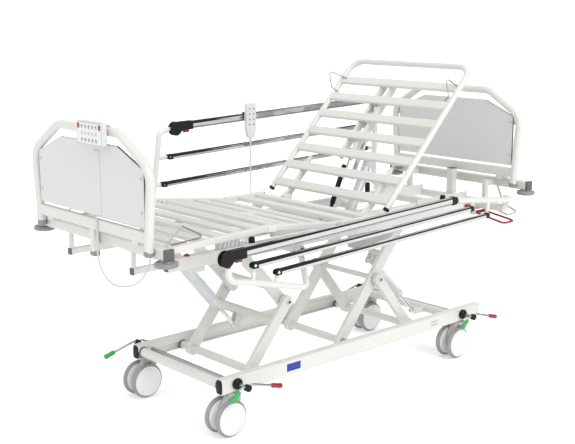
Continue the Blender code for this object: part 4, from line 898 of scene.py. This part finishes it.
def makeMidFittings():
    stops = []
    for side in (-1, 1):
        for x, height in frameTubes["stops"]:
            line = [(0.013, 0), (0.013, height - 0.006), (0.010, height), (0.004, height + 0.001)]
            place = (x, side * frameTubes["stopY"], frameTubes["stopZ"])
            stops.append(turned(line, place, (0, 0, 1), 20))
    piece("rubberStops", stops, "black", "mid_frame")
    y, z0, z1 = mid["y"], mid["z0"], mid["z1"]
    inner, outer = y - mid["w"] / 2 + 0.002, y + mid["w"] / 2 - 0.002
    ends = []
    for x in (mid["foot"], mid["head"]):
        ends += mirrored((x - 0.003, inner, z0 + 0.003), (x + 0.003, outer, z1 - 0.003))
    ends.append(block((0.977, -0.045, 0.8485), (1.008, -0.009, 0.8535), 0.006))
    piece("midFrameCaps", ends, "capGrey", "mid_frame")
    x, y, z = frameTubes["knob"]
    spots = [(x, side * y, z) for side in (-1, 1)]
    knobs = [turned(frameTubes["knobLine"], spot, (0, 0, 1), 24) for spot in spots]
    piece("extensionKnobs", knobs, "red", "mid_frame")
    pegs = [turned(frameTubes["knobPin"], spot, (0, 0, 1), 14) for spot in spots]
    piece("extensionPins", pegs, "steel", "mid_frame")
    x0, x1 = frameTubes["rack"]
    low, high = frameTubes["rackZ"]
    racks = mirrored((x0, 0.2480, low), (x1, 0.2510, high), 0.001)
    piece("ratchetPlates", racks, "pale", "mid_frame")
    teeth = []
    for side in (-1, 1):
        for step in range(frameTubes["teeth"]):
            x = x0 + 0.018 + frameTubes["toothStep"] * step
            outline = np.array(frameTubes["tooth"]) + [x, 0]
            teeth.append(plateXZ(outline, side * 0.2505, side * 0.2525, 0.0003))
    piece("ratchetTeeth", teeth, "white", "mid_frame")
    blocks = mirrored((0.812, 0.254, 0.696), (0.852, 0.276, 0.722))
    piece("releaseBlocks", blocks, "red", "mid_frame")
    hook = pipe(rounded(frameTubes["hook"], 0.014, 6), 0.0045, 16)
    piece("drainageHook", [hook], "pale", "mid_frame")
    parts = [block((0.335, -0.070, 0.538), (0.495, 0.050, 0.628), 0.008)]
    parts.append(block((0.333, -0.072, 0.592), (0.497, 0.052, 0.597), 0.001))
    parts += [pinY(0.360 + 0.028 * step, 0.560, -0.076, -0.069, 0.008, 20) for step in range(5)]
    piece("controlBox", parts, "pale", "mid_frame", ("control_box",))


makeMidFrame()
makeMidFittings()
print("mid frame made")

# platform sections: square side tubes and flat slats; slats are given as shares of a section's length
sections = dict(
    y=0.365, hip=(-0.153, 0.7765), knee=(-0.509, 0.8165), foot=(-0.982, 0.800), half=0.0125, pivotR=0.0127,
    seatSlats=(-0.050, 0.055), thighSlats=(0.16, 0.42, 0.70, 0.88), calfSlats=(0.11, 0.29, 0.47, 0.65, 0.83),
    kneePlate=((-0.020, -0.0125), (0.024, -0.0165), (0.024, 0.0105), (-0.020, 0.0135)),
    retainer=((-0.988, 0.352, 0.812), (-0.906, 0.345, 0.876), (-0.801, 0.340, 0.822), (-0.953, 0.340, 0.813)),
)


def sideBar(p0, p1, y, size=0.025):
    p0, p1 = vec(p0), vec(p1)
    run = unit(p1 - p0)
    return bar((p0[0], y, p0[1]), (p1[0], y, p1[1]), size, size, 0.0045, (-run[1], 0, run[0]))


def slat(place, run, halfY, width=0.045, thick=0.018, rise=0.002):
    normal = np.array([-run[1], run[0]])
    if normal[1] < 0:
        normal = -normal
    at = vec(place) + normal * rise
    profile = roundRect(width, thick, 0.007)
    return sweep([(at[0], -halfY, at[1]), (at[0], halfY, at[1])], profile, (normal[0], 0, normal[1]), 0.001)


def hingeParts(place, start, side):
    y = sections["y"]
    parts = [link(start, place, 0.0205, 0.0110, 0.0110, side * (y - 0.027), side * (y - 0.0135), 0.001)]
    parts.append(pinY(*place, side * (y - 0.026), side * (y + 0.012), 0.006))
    return parts


def hingeTube(place, side):
    y, half = sections["y"], sections["half"]
    return pinY(*place, side * (y - half), side * (y + half), sections["pivotR"], 28)


def makeSections():
    y = sections["y"]
    slatHalf = y - 0.0105
    hip, knee, foot = (np.array(sections[key]) for key in ("hip", "knee", "foot"))
    parts = []
    for side in (-1, 1):
        parts.append(sideBar(hip + [0.017, 0], (0.088, hip[1]), side * y))
        low, high = sorted((side * (y - 0.026), side * y))
        corner = (hip[0] + 0.020, low, hip[1] - 0.0105)
        parts.append(block(corner, (hip[0] + 0.060, high, hip[1] + 0.0105), 0.002))
        parts += hingeParts(hip, hip + [0.040, 0], side)
    for x in sections["seatSlats"]:
        parts.append(slat((x, hip[1] - 0.00175), (1.0, 0.0), slatHalf, 0.045, 0.0215, 0.0))
    piece("seatSection", parts, "cream", "mid_frame", ("seat_section",))
    ends = mirrored((0.0875, y - 0.0122, hip[1] - 0.0122), (0.0915, y + 0.0122, hip[1] + 0.0122), 0.001)
    piece("seatTubeEnds", ends, "black", "mid_frame")

    run = unit(knee - hip)
    length = float(np.linalg.norm(knee - hip))
    parts = []
    for side in (-1, 1):
        parts.append(sideBar(hip, knee - run * 0.017, side * y))
        parts.append(hingeTube(hip, side))
        low, high = sorted((side * (y - 0.026), side * y))
        start, end = knee - run * 0.060, knee - run * 0.020
        middle = (low + high) / 2
        ends = ((start[0], middle, start[1]), (end[0], middle, end[1]))
        parts.append(bar(*ends, high - low, 0.021, 0.002, (0, 0, 1)))
        parts += hingeParts(knee, knee - run * 0.040, side)
    parts += [slat(hip + run * share * length, run, slatHalf) for share in sections["thighSlats"]]
    start, end = hip + run * 0.40 * length, hip + run * 0.72 * length
    parts.append(bar((start[0], -0.040, start[1]), (end[0], -0.040, end[1]), 0.052, 0.014, 0.003))
    drop = hip + run * 0.60 * length
    parts += lugs((drop[0], drop[1] - 0.004), pins["thighFar"], -0.040, 0.028)
    piece("thighSection", parts, "cream", "thigh_section", ("thigh_section",))
    plates = []
    bolts = []
    for side in (-1, 1):
        outline = rounded(knee + sections["kneePlate"], 0.003, 4, True)
        plates.append(plateXZ(outline, side * (y + 0.0130), side * (y + 0.0150), 0.0005))
        for place in (hip, knee):
            bolts.append(pinY(*place, side * (y - 0.0268), side * (y - 0.0295), 0.0048, 18))
    piece("kneePlates", plates, "white", "thigh_section")
    piece("hingeBolts", bolts, "steel", "thigh_section")

    run = unit(foot - knee)
    length = float(np.linalg.norm(foot - knee))
    parts = []
    for side in (-1, 1):
        parts.append(sideBar(knee, foot, side * y))
        parts.append(hingeTube(knee, side))
    parts += [slat(knee + run * share * length, run, slatHalf) for share in sections["calfSlats"]]
    parts.append(slat(knee + run * (length - 0.014), run, slatHalf, 0.024))
    piece("calfSection", parts, "cream", "calf_section", ("calf_section",))
    retainers = []
    for side in (-1, 1):
        path = np.array(sections["retainer"]) * [1, side, 1]
        retainers.append(pipe(rounded(path, 0.007, 5), 0.0027, 12, (0, 1, 0)))
    piece("calfRetainers", retainers, "wire", "calf_section")


# backrest: bent tube round seven slats, two ribs, hinge plates, plugs and mattress retainers
backrest = dict(
    tubeR=0.0135, slats=7, first=0.038, step=0.1045, ribs=(0.034, 0.094), ribFrom=0.235, ribTo=0.690,
    plug=((0.0128, -0.002), (0.0142, 0.0), (0.0142, 0.005), (0.0110, 0.008), (0.003, 0.009)),
    wireR=0.0026, apex={-1: 0.050, 1: -0.061}, inner={-1: 0.0, 1: 0.050},
)


def makeBackrest():
    y = back["halfY"]
    low, top = backAt(0.0), backAt(back["length"])
    normal = (backNormal[0], 0, backNormal[1])
    path = [(low[0], -y, low[1]), (top[0], -y, top[1]), (top[0], y, top[1]), (low[0], y, low[1])]
    parts = [pipe(rounded(path, 0.070, 12), backrest["tubeR"], 26, normal)]
    for step in range(backrest["slats"]):
        parts.append(slat(backAt(backrest["first"] + backrest["step"] * step), backWay, y - 0.004))
    start, end = (backAt(backrest[key], back["rib"] + 0.006) for key in ("ribFrom", "ribTo"))
    for rib in backrest["ribs"]:
        parts.append(bar((start[0], rib, start[1]), (end[0], rib, end[1]), 0.016, 0.034, 0.003, normal))
    parts.append(pinY(*backAt(back["actuator"], back["rib"]), 0.036, 0.092, 0.006))
    parts.append(pinY(*backAt(back["spring"], back["rib"]), 0.094, 0.122, 0.006))
    pivot = np.array(back["pivot"])
    outline = [
        pivot + [-0.0144, -0.0192], pivot + [0.0132, -0.0200], backAt(0.15, -0.032),
        backAt(0.245, -0.002), backAt(0.02, -0.002), pivot + [-0.0228, 0.0074],
    ]
    for side in (-1, 1):
        parts.append(plateXZ(rounded(outline, 0.006, 4, True), side * 0.2555 - 0.007, side * 0.2555 + 0.007))
    piece("backrestFrame", parts, "cream", "backrest", ("backrest",))
    plugs = []
    wires = []
    for side in (-1, 1):
        away = (-backWay[0], 0, -backWay[1])
        plugs.append(turned(backrest["plug"], (low[0], side * y, low[1]), away, 26))
        apex, inner = backrest["apex"][side], backrest["inner"][side]
        wire = []
        for along, off, inward in (
            (0.667, 0.006, inner), (0.682, 0.040, apex), (0.668, 0.040, apex),
            (0.604, 0.016, apex * 0.3), (0.588, 0.004, 0.035),
        ):
            place = backAt(along, off)
            wire.append((place[0], side * (y - inward), place[1]))
        wires.append(pipe(rounded(wire, 0.007, 5), backrest["wireR"], 12, (0, 1, 0)))
    piece("backrestPlugs", plugs, "black", "backrest")
    piece("backrestRetainers", wires, "wire", "backrest")


makeSections()
makeBackrest()
print("platform made")

# end boards: bent tube hoop, light panel with a dark core, crossbars and bumpers
boards = dict(
    footboard=dict(x=deck["foot"] - deck["hoop"], top=1.208, rail=0.838),
    headboard=dict(x=deck["head"] - deck["hoop"], top=1.245, rail=0.842),
)
hoop = dict(foot=(0.366, 0.802), shoulder=0.392, slope=0.115, flat=0.205, bend=0.085, tubeR=0.017)
hoop["cap"] = ((0.0120, -0.010), (0.0165, -0.007), (0.0176, 0.0), (0.0176, 0.012))


def makeBoard(name, spec):
    x, top, rail = spec["x"], spec["top"], spec["rail"]
    footY, footZ = hoop["foot"]
    half = [(footY, footZ), (hoop["shoulder"], top - hoop["slope"]), (hoop["flat"], top)]
    path = [(x, -y, z) for y, z in half] + [(x, y, z) for y, z in half[::-1]]
    parts = [pipe(rounded(path, hoop["bend"], 14), hoop["tubeR"], 28, (1, 0, 0))]
    parts.append(block((x - 0.012, -0.372, rail), (x + 0.012, 0.372, rail + 0.042), 0.006))
    parts += mirrored((x - 0.006, 0.270, 0.8243), (x + 0.045, 0.310, rail + 0.015), 0.002)
    clips = []
    for z in (rail + 0.095, top - 0.155):
        parts += mirrored((x + 0.0063, 0.335, z), (x + 0.0120, 0.384, z + 0.022), 0.001)
        for side in (-1, 1):
            y, level = side * 0.340, z + 0.011
            clips.append(drum((x - 0.0085, y, level), (x + 0.0135, y, level), 0.0055, 18))
    caps = [turned(hoop["cap"], (x, side * footY, footZ), (0, 0, 1), 28) for side in (-1, 1)]
    if name == "footboard":
        parts.append(block((x - 0.013, -0.0315, 0.745), (x + 0.0125, -0.0060, rail + 0.02), 0.004))
        caps.append(block((x - 0.0145, -0.0330, 0.736), (x + 0.0140, -0.0045, 0.756), 0.007))
    piece(name + "Hoop", parts, "cream", name, (name + "_frame",))
    piece(name + "Caps", caps, "bumper", name)
    low, shoulder, peak = rail + 0.055, top - hoop["slope"], top - 0.047
    outline = [
        (-0.354, low), (0.354, low), (0.354, shoulder), (0.192, peak), (-0.192, peak), (-0.354, shoulder),
    ]
    outline = rounded(outline, 0.014, 6, True)
    face = inset(outline, -0.0002)
    core = plateYZ(outline, x - 0.0057, x + 0.0057, 0.001)
    piece(name + "Core", [core], "core", name, (name + "_panel",))
    sheets = [plateYZ(face, x - 0.0064, x - 0.0028, 0.0004), plateYZ(face, x + 0.0028, x + 0.0064, 0.0004)]
    if name == "footboard":
        z0, z1 = low + 0.001, top - 0.073
        strip = rounded([(-0.082, z0), (-0.046, z0), (-0.046, z1), (-0.082, z1)], 0.004, 4, True)
        sheets.append(plateYZ(strip, x - 0.0088, x - 0.0055, 0.0018))
    piece(name + "Sheets", sheets, "sheet", name)
    piece(name + "Clips", clips, "pale", name)


bumperLine = [
    (0.010, 0.0), (0.0365, 0.0), (0.0412, 0.0025), (0.0430, 0.007), (0.0430, 0.012), (0.0412, 0.0165),
    (0.0375, 0.018), (0.0300, 0.0185), (0.0285, 0.0175), (0.0255, 0.0175), (0.0240, 0.0185), (0.0225, 0.0235),
]


def makeEnds():
    x, z, top = deck["foot"], deck["barZ"], deck["barTop"]
    parts = [crossbar("foot")]
    parts += mirrored((x + 0.010, 0.2027, 0.695), (-0.560, 0.2247, 0.719), 0.003)
    parts += mirrored((x + 0.012, 0.2057, 0.692), (x + 0.028, 0.2217, z + 0.006), 0.003)
    piece("footCrossbar", parts, "cream", "foot_crossbar", ("foot_crossbar",))
    tips = mirrored((x + 0.0088, 0.2017, 0.694), (x + 0.0140, 0.2257, 0.720), 0.003)
    piece("extensionTips", tips, "capGrey", "foot_crossbar")
    for end, body in (("foot", "foot_crossbar"), ("head", "mid_frame")):
        bx = deck[end]
        caps = mirrored((bx - 0.001, 0.4250, z - 0.001), (bx + 0.041, 0.4385, top + 0.001))
        piece(end + "BarCaps", caps, "capGrey", body)
        for name, side in bothSides:
            node = f"{end}_bumper_{name}"
            roller = turned(bumperLine, (bx + 0.020, side * 0.416, z - 0.024), (0, 0, 1), 48)
            piece(f"{end}Bumper_{name}", [roller], "bumper", node, (node,))


for name, spec in boards.items():
    makeBoard(name, spec)
makeEnds()
print("ends made")

# control panel: an upright white case with plain buttons, hooked over the footboard's tube
panel = dict(width=0.170, height=0.088, thick=0.024, front=-1.1114, y=-0.080, z=1.199, hookY=0.040)
panel.update(rows=(0.024, 0.000, -0.024), columns=5, firstU=-0.046, stepU=0.023, redKeys=(-0.069, 0.069))


def makeControlPanel():
    half = panel["thick"] / 2
    level = panel["front"] + half

    # u runs to the viewer's right, v up, both from the case's middle; heights count from its middle plane
    def tile(u, v, w, h, low, high, r, bevel):
        u0, u1, v0, v1 = u - w / 2, u + w / 2, v - h / 2, v + h / 2
        outline = np.array([(u0, v0), (u1, v0), (u1, v1), (u0, v1)])
        outline = rounded(outline * [-1, 1] + [panel["y"], panel["z"]], r, 6, True)
        return plateYZ(outline, level - high, level - low, bevel)

    x = boards["footboard"]["x"]
    y0, y1 = panel["y"] - panel["hookY"], panel["y"] + panel["hookY"]
    hook = block((level, y0, 1.2253), (x + 0.0215, y1, 1.230), 0.0015)
    lip = block((x + 0.0173, y0, 1.204), (x + 0.0215, y1, 1.2299), 0.0015)
    case = tile(0, 0, panel["width"], panel["height"], -half, half - 0.0010, 0.010, 0.004)
    piece("controlCase", [case, hook, lip], "shell", "footboard", ("control_panel",))
    face = tile(0, 0, 0.158, 0.076, half - 0.004, half - 0.0003, 0.006, 0.0012)
    piece("controlFace", [face], "white", "footboard")
    rim = tile(0, 0, 0.1636, 0.0816, half - 0.006, half - 0.0007, 0.008, 0.0003)
    piece("controlRim", [rim], "pale", "footboard")
    keys = []
    marks = []
    for v in panel["rows"]:
        for col in range(panel["columns"]):
            u = panel["firstU"] + panel["stepU"] * col
            keys.append(tile(u, v, 0.018, 0.017, half - 0.002, half - 0.0001, 0.004, 0.0005))
            shapes = [(u, v, 0.0052, 0.0034, 0.0008)]
            if v:
                shift = u - 0.002 + 0.001 * col
                shapes = [(u, v + 0.002, 0.0090, 0.0044, 0.001), (shift, v - 0.0040, 0.0048, 0.0040, 0.001)]
            marks += [tile(*shape[:4], half - 0.001, half, shape[4], 0.0001) for shape in shapes]
    piece("controlKeys", keys, "sheet", "footboard")
    piece("controlMarks", marks, "ink", "footboard")
    lamps = [tile(u, 0.025, 0.0150, 0.0190, half - 0.002, half, 0.003, 0.0006) for u in panel["redKeys"]]
    piece("controlRedKeys", lamps, "red", "footboard")


makeControlPanel()

# handset: a tapered case with small marked keys, hung on the raised rail by a hook
handset = dict(
    width=0.061, narrow=0.036, taper=0.042, half=0.011, rows=4, stepZ=0.024, keyX=0.0128, hookY=0.446,
    key=((0.0085, -0.0010), (0.0082, 0.0006), (0.0060, 0.0010)),
    relief=((0.0032, -0.030), (0.0045, -0.028), (0.0062, -0.010), (0.0070, 0.0)),
)


def makeHandset():
    x, y = cords["handsetX"], cords["handsetY"]
    top = topBarZ(x) + cords["seat"]
    z1 = top + cords["rise"]
    z0 = z1 - cords["tall"]
    w, n, bend = handset["width"] / 2, handset["narrow"] / 2, z0 + handset["taper"]
    lean = w - 0.002
    outline = [(x - n, z0), (x + n, z0), (x + w, bend), (x + lean, z1), (x - lean, z1), (x - w, bend)]
    parts = [plateXZ(rounded(outline, 0.011, 6, True), y - handset["half"], y + handset["half"], 0.004)]
    parts.append(turned(handset["relief"], (x, y, z0 + 0.004), (0, 0, 1), 20))
    piece("handsetCase", parts, "shell", "handset", ("handset",))
    out = handset["hookY"]
    hook = [block((x - 0.015, y + 0.008, top + 0.0015), (x + 0.015, out, top + 0.0065), 0.0015)]
    hook.append(block((x - 0.015, 0.4430, top - 0.020), (x + 0.015, out, top + 0.0064), 0.0010))
    piece("handsetHook", hook, "capGrey", "handset")
    keys = []
    marks = []
    for row in range(handset["rows"]):
        for col in (-1, 1):
            u, v = x + col * handset["keyX"], z1 - 0.026 - handset["stepZ"] * row
            keys.append(turned(handset["key"], (u, y - 0.0108, v), (0, -1, 0), 24))
            low = (u - 0.0030 - 0.0005 * row, y - 0.0122, v - 0.0036)
            marks.append(block(low, (u + 0.0022, y - 0.0116, v + 0.0030), 0.0002))
    piece("handsetKeys", keys, "sheet", "handset")
    piece("handsetMarks", marks, "ink", "handset")


makeHandset()
print("controls made")

# side rails: bent tube arms, drawn bars with forked black ends, black grips with a red trigger
rails = dict(
    hubY=0.379, hubR=0.0175, armR=0.0125, headR=0.0138, stubR=0.0095, stubShort=0.0215, tongueH=0.0138,
    barY=0.432, barT=0.021, topH=0.034, lowH=0.021, grip=0.085, fork=0.006, depth=0.013, tongue=0.005,
    pin=0.006, skin=0.0008, strip=0.0004,
)

# per rail: its turn in degrees, the foot arm's upper neck (tube's end and tongue's start, both short
# of the pin, and height), and the bars' look with their bolts' look and radius
railTurn = dict(near=85.0, far=0.0)
railNeck = dict(near=(0.042, 0.0215, 0.0230), far=(0.047, 0.0330, 0.0138))
# the far rail's bars take the darker copy of the aluminium as painted shade
railLook = dict(near=("alu", "white", 0.0056), far=("aluShaded", "steel", 0.0034))

# foot arm while the rail stands, from its pivot: hub, elbow, bend, the slanted stretch and the upper corner
footArm = dict(
    hub=(-0.003, -0.001), elbow=(-0.098, -0.032), bend=(-0.142, -0.004), slant=(-0.0935, 0.300),
    corner=(-0.083, 0.392), lean=0.0485 / 0.304,
)
headArm = dict(tail=(-0.002, -0.034), stubX=0.004, neck=(0.0245, 0.0175))

# a bar's height, corner radius and, at each forked end, the way it points, its nose and its tail
railBars = dict(
    top=(rails["topH"], 0.0065, ((1, 0.020, 0.0200),)),
    mid=(rails["lowH"], 0.0040, ((-1, 0.0145, 0.0155), (1, 0.012, 0.0140))),
    low=(rails["lowH"], 0.0040, ((-1, 0.0145, 0.0155), (1, 0.012, 0.0140))),
)

# grip and trigger, both counted along and across the top bar from its pin at the foot arm
grip = dict(
    nose=0.006, drop=0.008, bossR=0.0310, bossTurn=(62, 308), buttonR=0.0190, inner=0.0018, outer=0.0155,
    tail=((0.024, -0.0215), (0.040, -0.0192), (0.085, -0.0190), (0.085, 0.0190), (0.024, 0.0200)),
    fill=((0.014, -0.0205), (0.014, 0.0186), (0.085, 0.0186), (0.085, -0.0186), (0.040, -0.0188)),
)
trigger = dict(along=0.052, drop=0.022, half=0.0162, width=0.0116, height=0.018)

# arcs of the dark line at a bar's foot end and head end, for the top bars and the others; the line is partly
# the bars' black insert and partly painted reflection, its width changing from foot to head and wider on the
# far rail
stripAndReflection = {
    ("near", True): ((0.0, 0.0185), (0.0105, 0.0162)),
    ("far", True): ((0.0, 0.0205), (0.0, 0.0090)),
    ("near", False): ((0.0, 0.0190), (0.0100, 0.0162)),
    ("far", False): ((0.0, 0.0210), (0.0, 0.0115)),
}


# one side of the dark line along a bar: its section from one arc length to another,
# both counted from the middle of the round top, over the flat, the corner and down the side
def crest(first, last, way, wide, tall, r, thick=0.0012):
    flat = wide - r
    run = np.linspace(first, last, 13)
    turn = np.clip((run - flat) / r, 0, math.pi / 2)
    drop = np.maximum(run - flat - r * math.pi / 2, 0)
    normal = np.stack([np.sin(turn), np.cos(turn)], axis=1)
    outer = np.stack([np.minimum(run, flat), tall - r - drop], axis=1) + r * normal
    ring = np.concatenate([outer[::-1], outer - thick * normal])
    return ring if way > 0 else ring[::-1] * [-1, 1]


def makeRail(name, side):
    fold = math.radians(railTurn[name])
    c, s = math.cos(fold), math.sin(fold)
    foot, head = np.array(railPins["foot"]), np.array(railPins["head"])
    run = unit(head - foot)
    up = np.array([-run[1], run[0]])
    y = side * rails["barY"]
    half = rails["barT"] / 2
    ref = (up[0], 0, up[1])
    metalLook, boltLook, boltR = railLook[name]

    def at(pivot, dx, dz):
        return pivot + np.array([dx * c - dz * s, dx * s + dz * c])

    def spot(place, level=y):
        return (place[0], level, place[1])

    def flat(p0, p1, height):
        return bar(spot(p0), spot(p1), height, 2 * rails["tongue"], 0.002, (0, 1, 0))

    # white stub that stops short of a fork, dark tongue and pin inside it
    def tongue(pivot, start, pin, short, dark=0.0120, height=rails["tongueH"]):
        p0, p1 = at(pivot, *start), at(pivot, *pin)
        way = unit(p1 - p0)
        stop = p1 - way * short
        white = flat(stop - way * 0.010, p1 - way * dark, height)
        blade = flat(p1 - way * dark, p1 + way * 0.007, rails["tongueH"])
        return stop, white, [blade, pinY(*p1, y - half, y + half, rails["pin"])]

    def arm(pivot, label, parts, starts, topStub, topDark):
        darks = []
        for key, start in starts.items():
            stop, stub, dark = tongue(pivot, start, railPins[key], rails["stubShort"])
            parts += [pipe([spot(at(pivot, *start)), spot(stop)], rails["stubR"], 20, (0, 1, 0)), stub]
            darks += dark
        body = f"rail_{label}_arm_{name}"
        piece(f"rail_{label}Arm_{name}", parts + [topStub], "railWhite", body, (body,))
        piece(f"rail_{label}Tongues_{name}", darks + topDark, "black", body)

    hub, r = side * rails["hubY"], rails["armR"]
    bend, corner = footArm["bend"], footArm["corner"]
    stop, white, dark = tongue(foot, corner, railPins["top"], *railNeck[name])
    path = [spot(at(foot, *footArm[key]), hub) for key in ("hub", "elbow")]
    path += [spot(at(foot, *footArm[key])) for key in ("bend", "slant", "corner")] + [spot(stop)]
    parts = [pipe(rounded(path, 0.050, 12), r, 26, (0, 1, 0))]
    parts.append(pinY(*foot, hub - r, hub + r, rails["hubR"], 28))
    levels = {key: railPins[key][1] for key in ("low", "mid")}
    starts = {key: (bend[0] + footArm["lean"] * (level - bend[1]), level) for key, level in levels.items()}
    arm(foot, "foot", parts, starts, white, dark)

    r, tail = rails["headR"], headArm["tail"]
    stop, white, dark = tongue(head, tail, railPins["top"], *headArm["neck"])
    parts = [pipe([spot(at(head, *tail)), spot(stop)], r, 28, (0, 1, 0), 0.005)]
    parts.append(pinY(*head, y - r, y + r, rails["hubR"], 28))
    starts = {key: (headArm["stubX"], level) for key, level in levels.items()}
    arm(head, "head", parts, starts, white, dark)

    # bars: rounded metal with dark strips, partly a black insert and partly painted reflection, black cheeks
    # round the tongues, pins shown as round heads
    for key, (high, corner, forks) in railBars.items():
        isTop = key == "top"
        p0, p1 = at(foot, *railPins[key]), at(head, *railPins[key])
        start = p0 + run * (rails["grip"] + 0.0003 if isTop else rails["depth"])
        end = p1 - run * rails["depth"]
        body = f"rail_{key}_bar_{name}"
        metal = [bar(spot(start), spot(end), rails["barT"], high, corner, ref)]
        piece(f"railBar_{key}_{name}", metal, metalLook, body, (body,))
        dark = []
        axes = np.array([(0, 1, 0), ref])
        wide, tall = half + rails["strip"], high / 2 + rails["strip"]
        for way in (-1, 1):
            shapes = [crest(*arc, way, wide, tall, corner) for arc in stripAndReflection[name, isTop]]
            rows = [np.array(spot(place)) + shape @ axes for place, shape in zip((start, end), shapes)]
            dark.append(capped(np.array(rows), 2, len(shapes[0])))
        bolts = []
        rim = high / 2 + rails["skin"]
        nose = min(rim, 0.018)
        turn = rays(np.linspace(-math.pi / 2, math.pi / 2, 13))
        for way, tip, long in forks:
            place = p0 if way < 0 else p1
            middle = place + run * way * (tip - nose)
            arc = middle + np.outer(turn[:, 0] * nose * way, run) + np.outer(turn[:, 1] * rim, up)
            tailEnd = place - run * way * long
            outline = np.concatenate([arc, [tailEnd + up * rim, tailEnd - up * rim]])
            for face in (-1, 1):
                cheek = (y + face * rails["fork"], y + face * (half + rails["skin"]))
                dark.append(plateXZ(outline, *cheek, rails["skin"]))
                if way < 0:
                    bolt = (y + face * (half - 0.001), y + face * (half + 0.0016))
                    bolts.append(pinY(*place, *bolt, boltR, 24))
        piece(f"railStrip_{key}_{name}", dark, "black", body)
        if isTop:
            # top bar: a grey line along the lower edge of each face, painted shade
            edgeShadeDrop = up * (corner - high / 2 + 0.0006)
            lines = []
            for way in (-1, 1):
                ends = [spot(place + edgeShadeDrop, y + way * half) for place in (start, end)]
                lines.append(bar(*ends, 0.0008, 0.0036, 0.0003, ref))
            piece(f"railEdgeShade_{name}", lines, "capGrey", body)
        else:
            piece(f"railBolts_{key}_{name}", bolts, boltLook, body)

    # grip: two cheeks with a round boss at the pin, filled between them along the bar
    p0 = at(foot, *railPins["top"])
    nose = p0 - run * grip["nose"]
    boss = nose - up * grip["drop"]
    first, last = (math.radians(turn) for turn in grip["bossTurn"])
    turn = np.linspace(first, last, 26) + math.atan2(run[1], run[0])
    tail = [p0 + run * along + up * across for along, across in grip["tail"]]
    outline = np.concatenate([boss + rays(turn) * grip["bossR"], tail])
    fill = [p0 + run * along + up * across for along, across in grip["fill"]]
    inner, outer = y - side * (half + grip["inner"]), y + side * grip["outer"]
    gap, core = side * rails["fork"], side * (rails["fork"] + 0.003)
    parts = [plateXZ(outline, inner, y - gap, 0.002), plateXZ(outline, y + gap, outer, 0.0035)]
    parts.append(plateXZ(np.array(fill), y - core, y + core, 0.0004))
    parts.append(pinY(*boss, outer - side * 0.002, outer + side * 0.0012, grip["buttonR"], 36))
    piece(f"railGrip_{name}", parts, "black", f"rail_top_bar_{name}", (f"rail_grip_{name}",))
    low = p0 + run * trigger["along"] - up * trigger["drop"]
    ends = [spot(low + run * way * trigger["half"]) for way in (-1, 1)]
    pull = bar(*ends, trigger["width"], trigger["height"], 0.003, ref, 0.003)
    node = f"rail_trigger_{name}"
    piece(f"railTrigger_{name}", [pull], "red", node, (node,))


for name, side in bothSides:
    makeRail(name, side)
print("side rails made")

# pale floor and soft light; dark cards out of view give the polished bars their black lines
studio = dict(
    floor=(0.80, 0.80, 0.80), reach=900, glow=0.32, world=1.05, sun=1.9, spread=45.0, way=(0.05, -0.80, 0.72),
    cards=(
        dict(turn=(-1.75, -1.25, 0.10, 0.45), rise=(0.14, 0.20, 0.60, 0.70)),
        dict(turn=(0.84, 0.90, 1.05, 1.15), rise=(0.06, 0.12, 0.42, 0.50)),
    ),
    cardDark=0.92,
)


def makeStudio():
    bpy.context.scene.view_settings.view_transform = "Standard"
    far = studio["reach"]
    mesh = bpy.data.meshes.new("paleFloor")
    mesh.from_pydata([(-far, -far, 0), (far, -far, 0), (far, far, 0), (-far, far, 0)], [], [(0, 1, 2, 3)])
    glow = dict(Emission_Color=(1, 1, 1, 1), Emission_Strength=studio["glow"])
    mesh.materials.append(Finish("paleFloorPaint", studio["floor"], 0.9, **glow).material)
    floor = bpy.data.objects.new("paleFloor", mesh)
    bpy.context.scene.collection.objects.link(floor)
    world = bpy.data.worlds.new("studioWorld")
    world.use_nodes = True
    sky = NodeTree(world.node_tree)
    way = sky.node("ShaderNodeTexCoord")
    x, y, z = (sky.node("ShaderNodeSeparateXYZ", None, {0: way}, axis) for axis in range(3))
    turn = y.join("ARCTAN2", y, x)
    shine = studio["world"]
    for card in studio["cards"]:
        mask = 1.0
        for value, (a, b, c, d) in ((turn, card["turn"]), (z, card["rise"])):
            mask = mask * sky.ramp(value, a, b) * sky.ramp(value, d, c)
        shine = shine - mask * (studio["world"] * studio["cardDark"])
    backdrop = world.node_tree.nodes["Background"]
    backdrop.inputs[0].default_value = (1.0, 1.0, 1.0, 1.0)
    world.node_tree.links.new(shine.socket, backdrop.inputs[1])
    bpy.context.scene.world = world
    data = bpy.data.lights.new("softSun", "SUN")
    data.angle = math.radians(studio["spread"])
    data.energy = studio["sun"]
    lamp = bpy.data.objects.new("softSun", data)
    lamp.rotation_euler = (-Vector(studio["way"])).to_track_quat("-Z", "Y").to_euler()
    bpy.context.scene.collection.objects.link(lamp)


makeStudio()
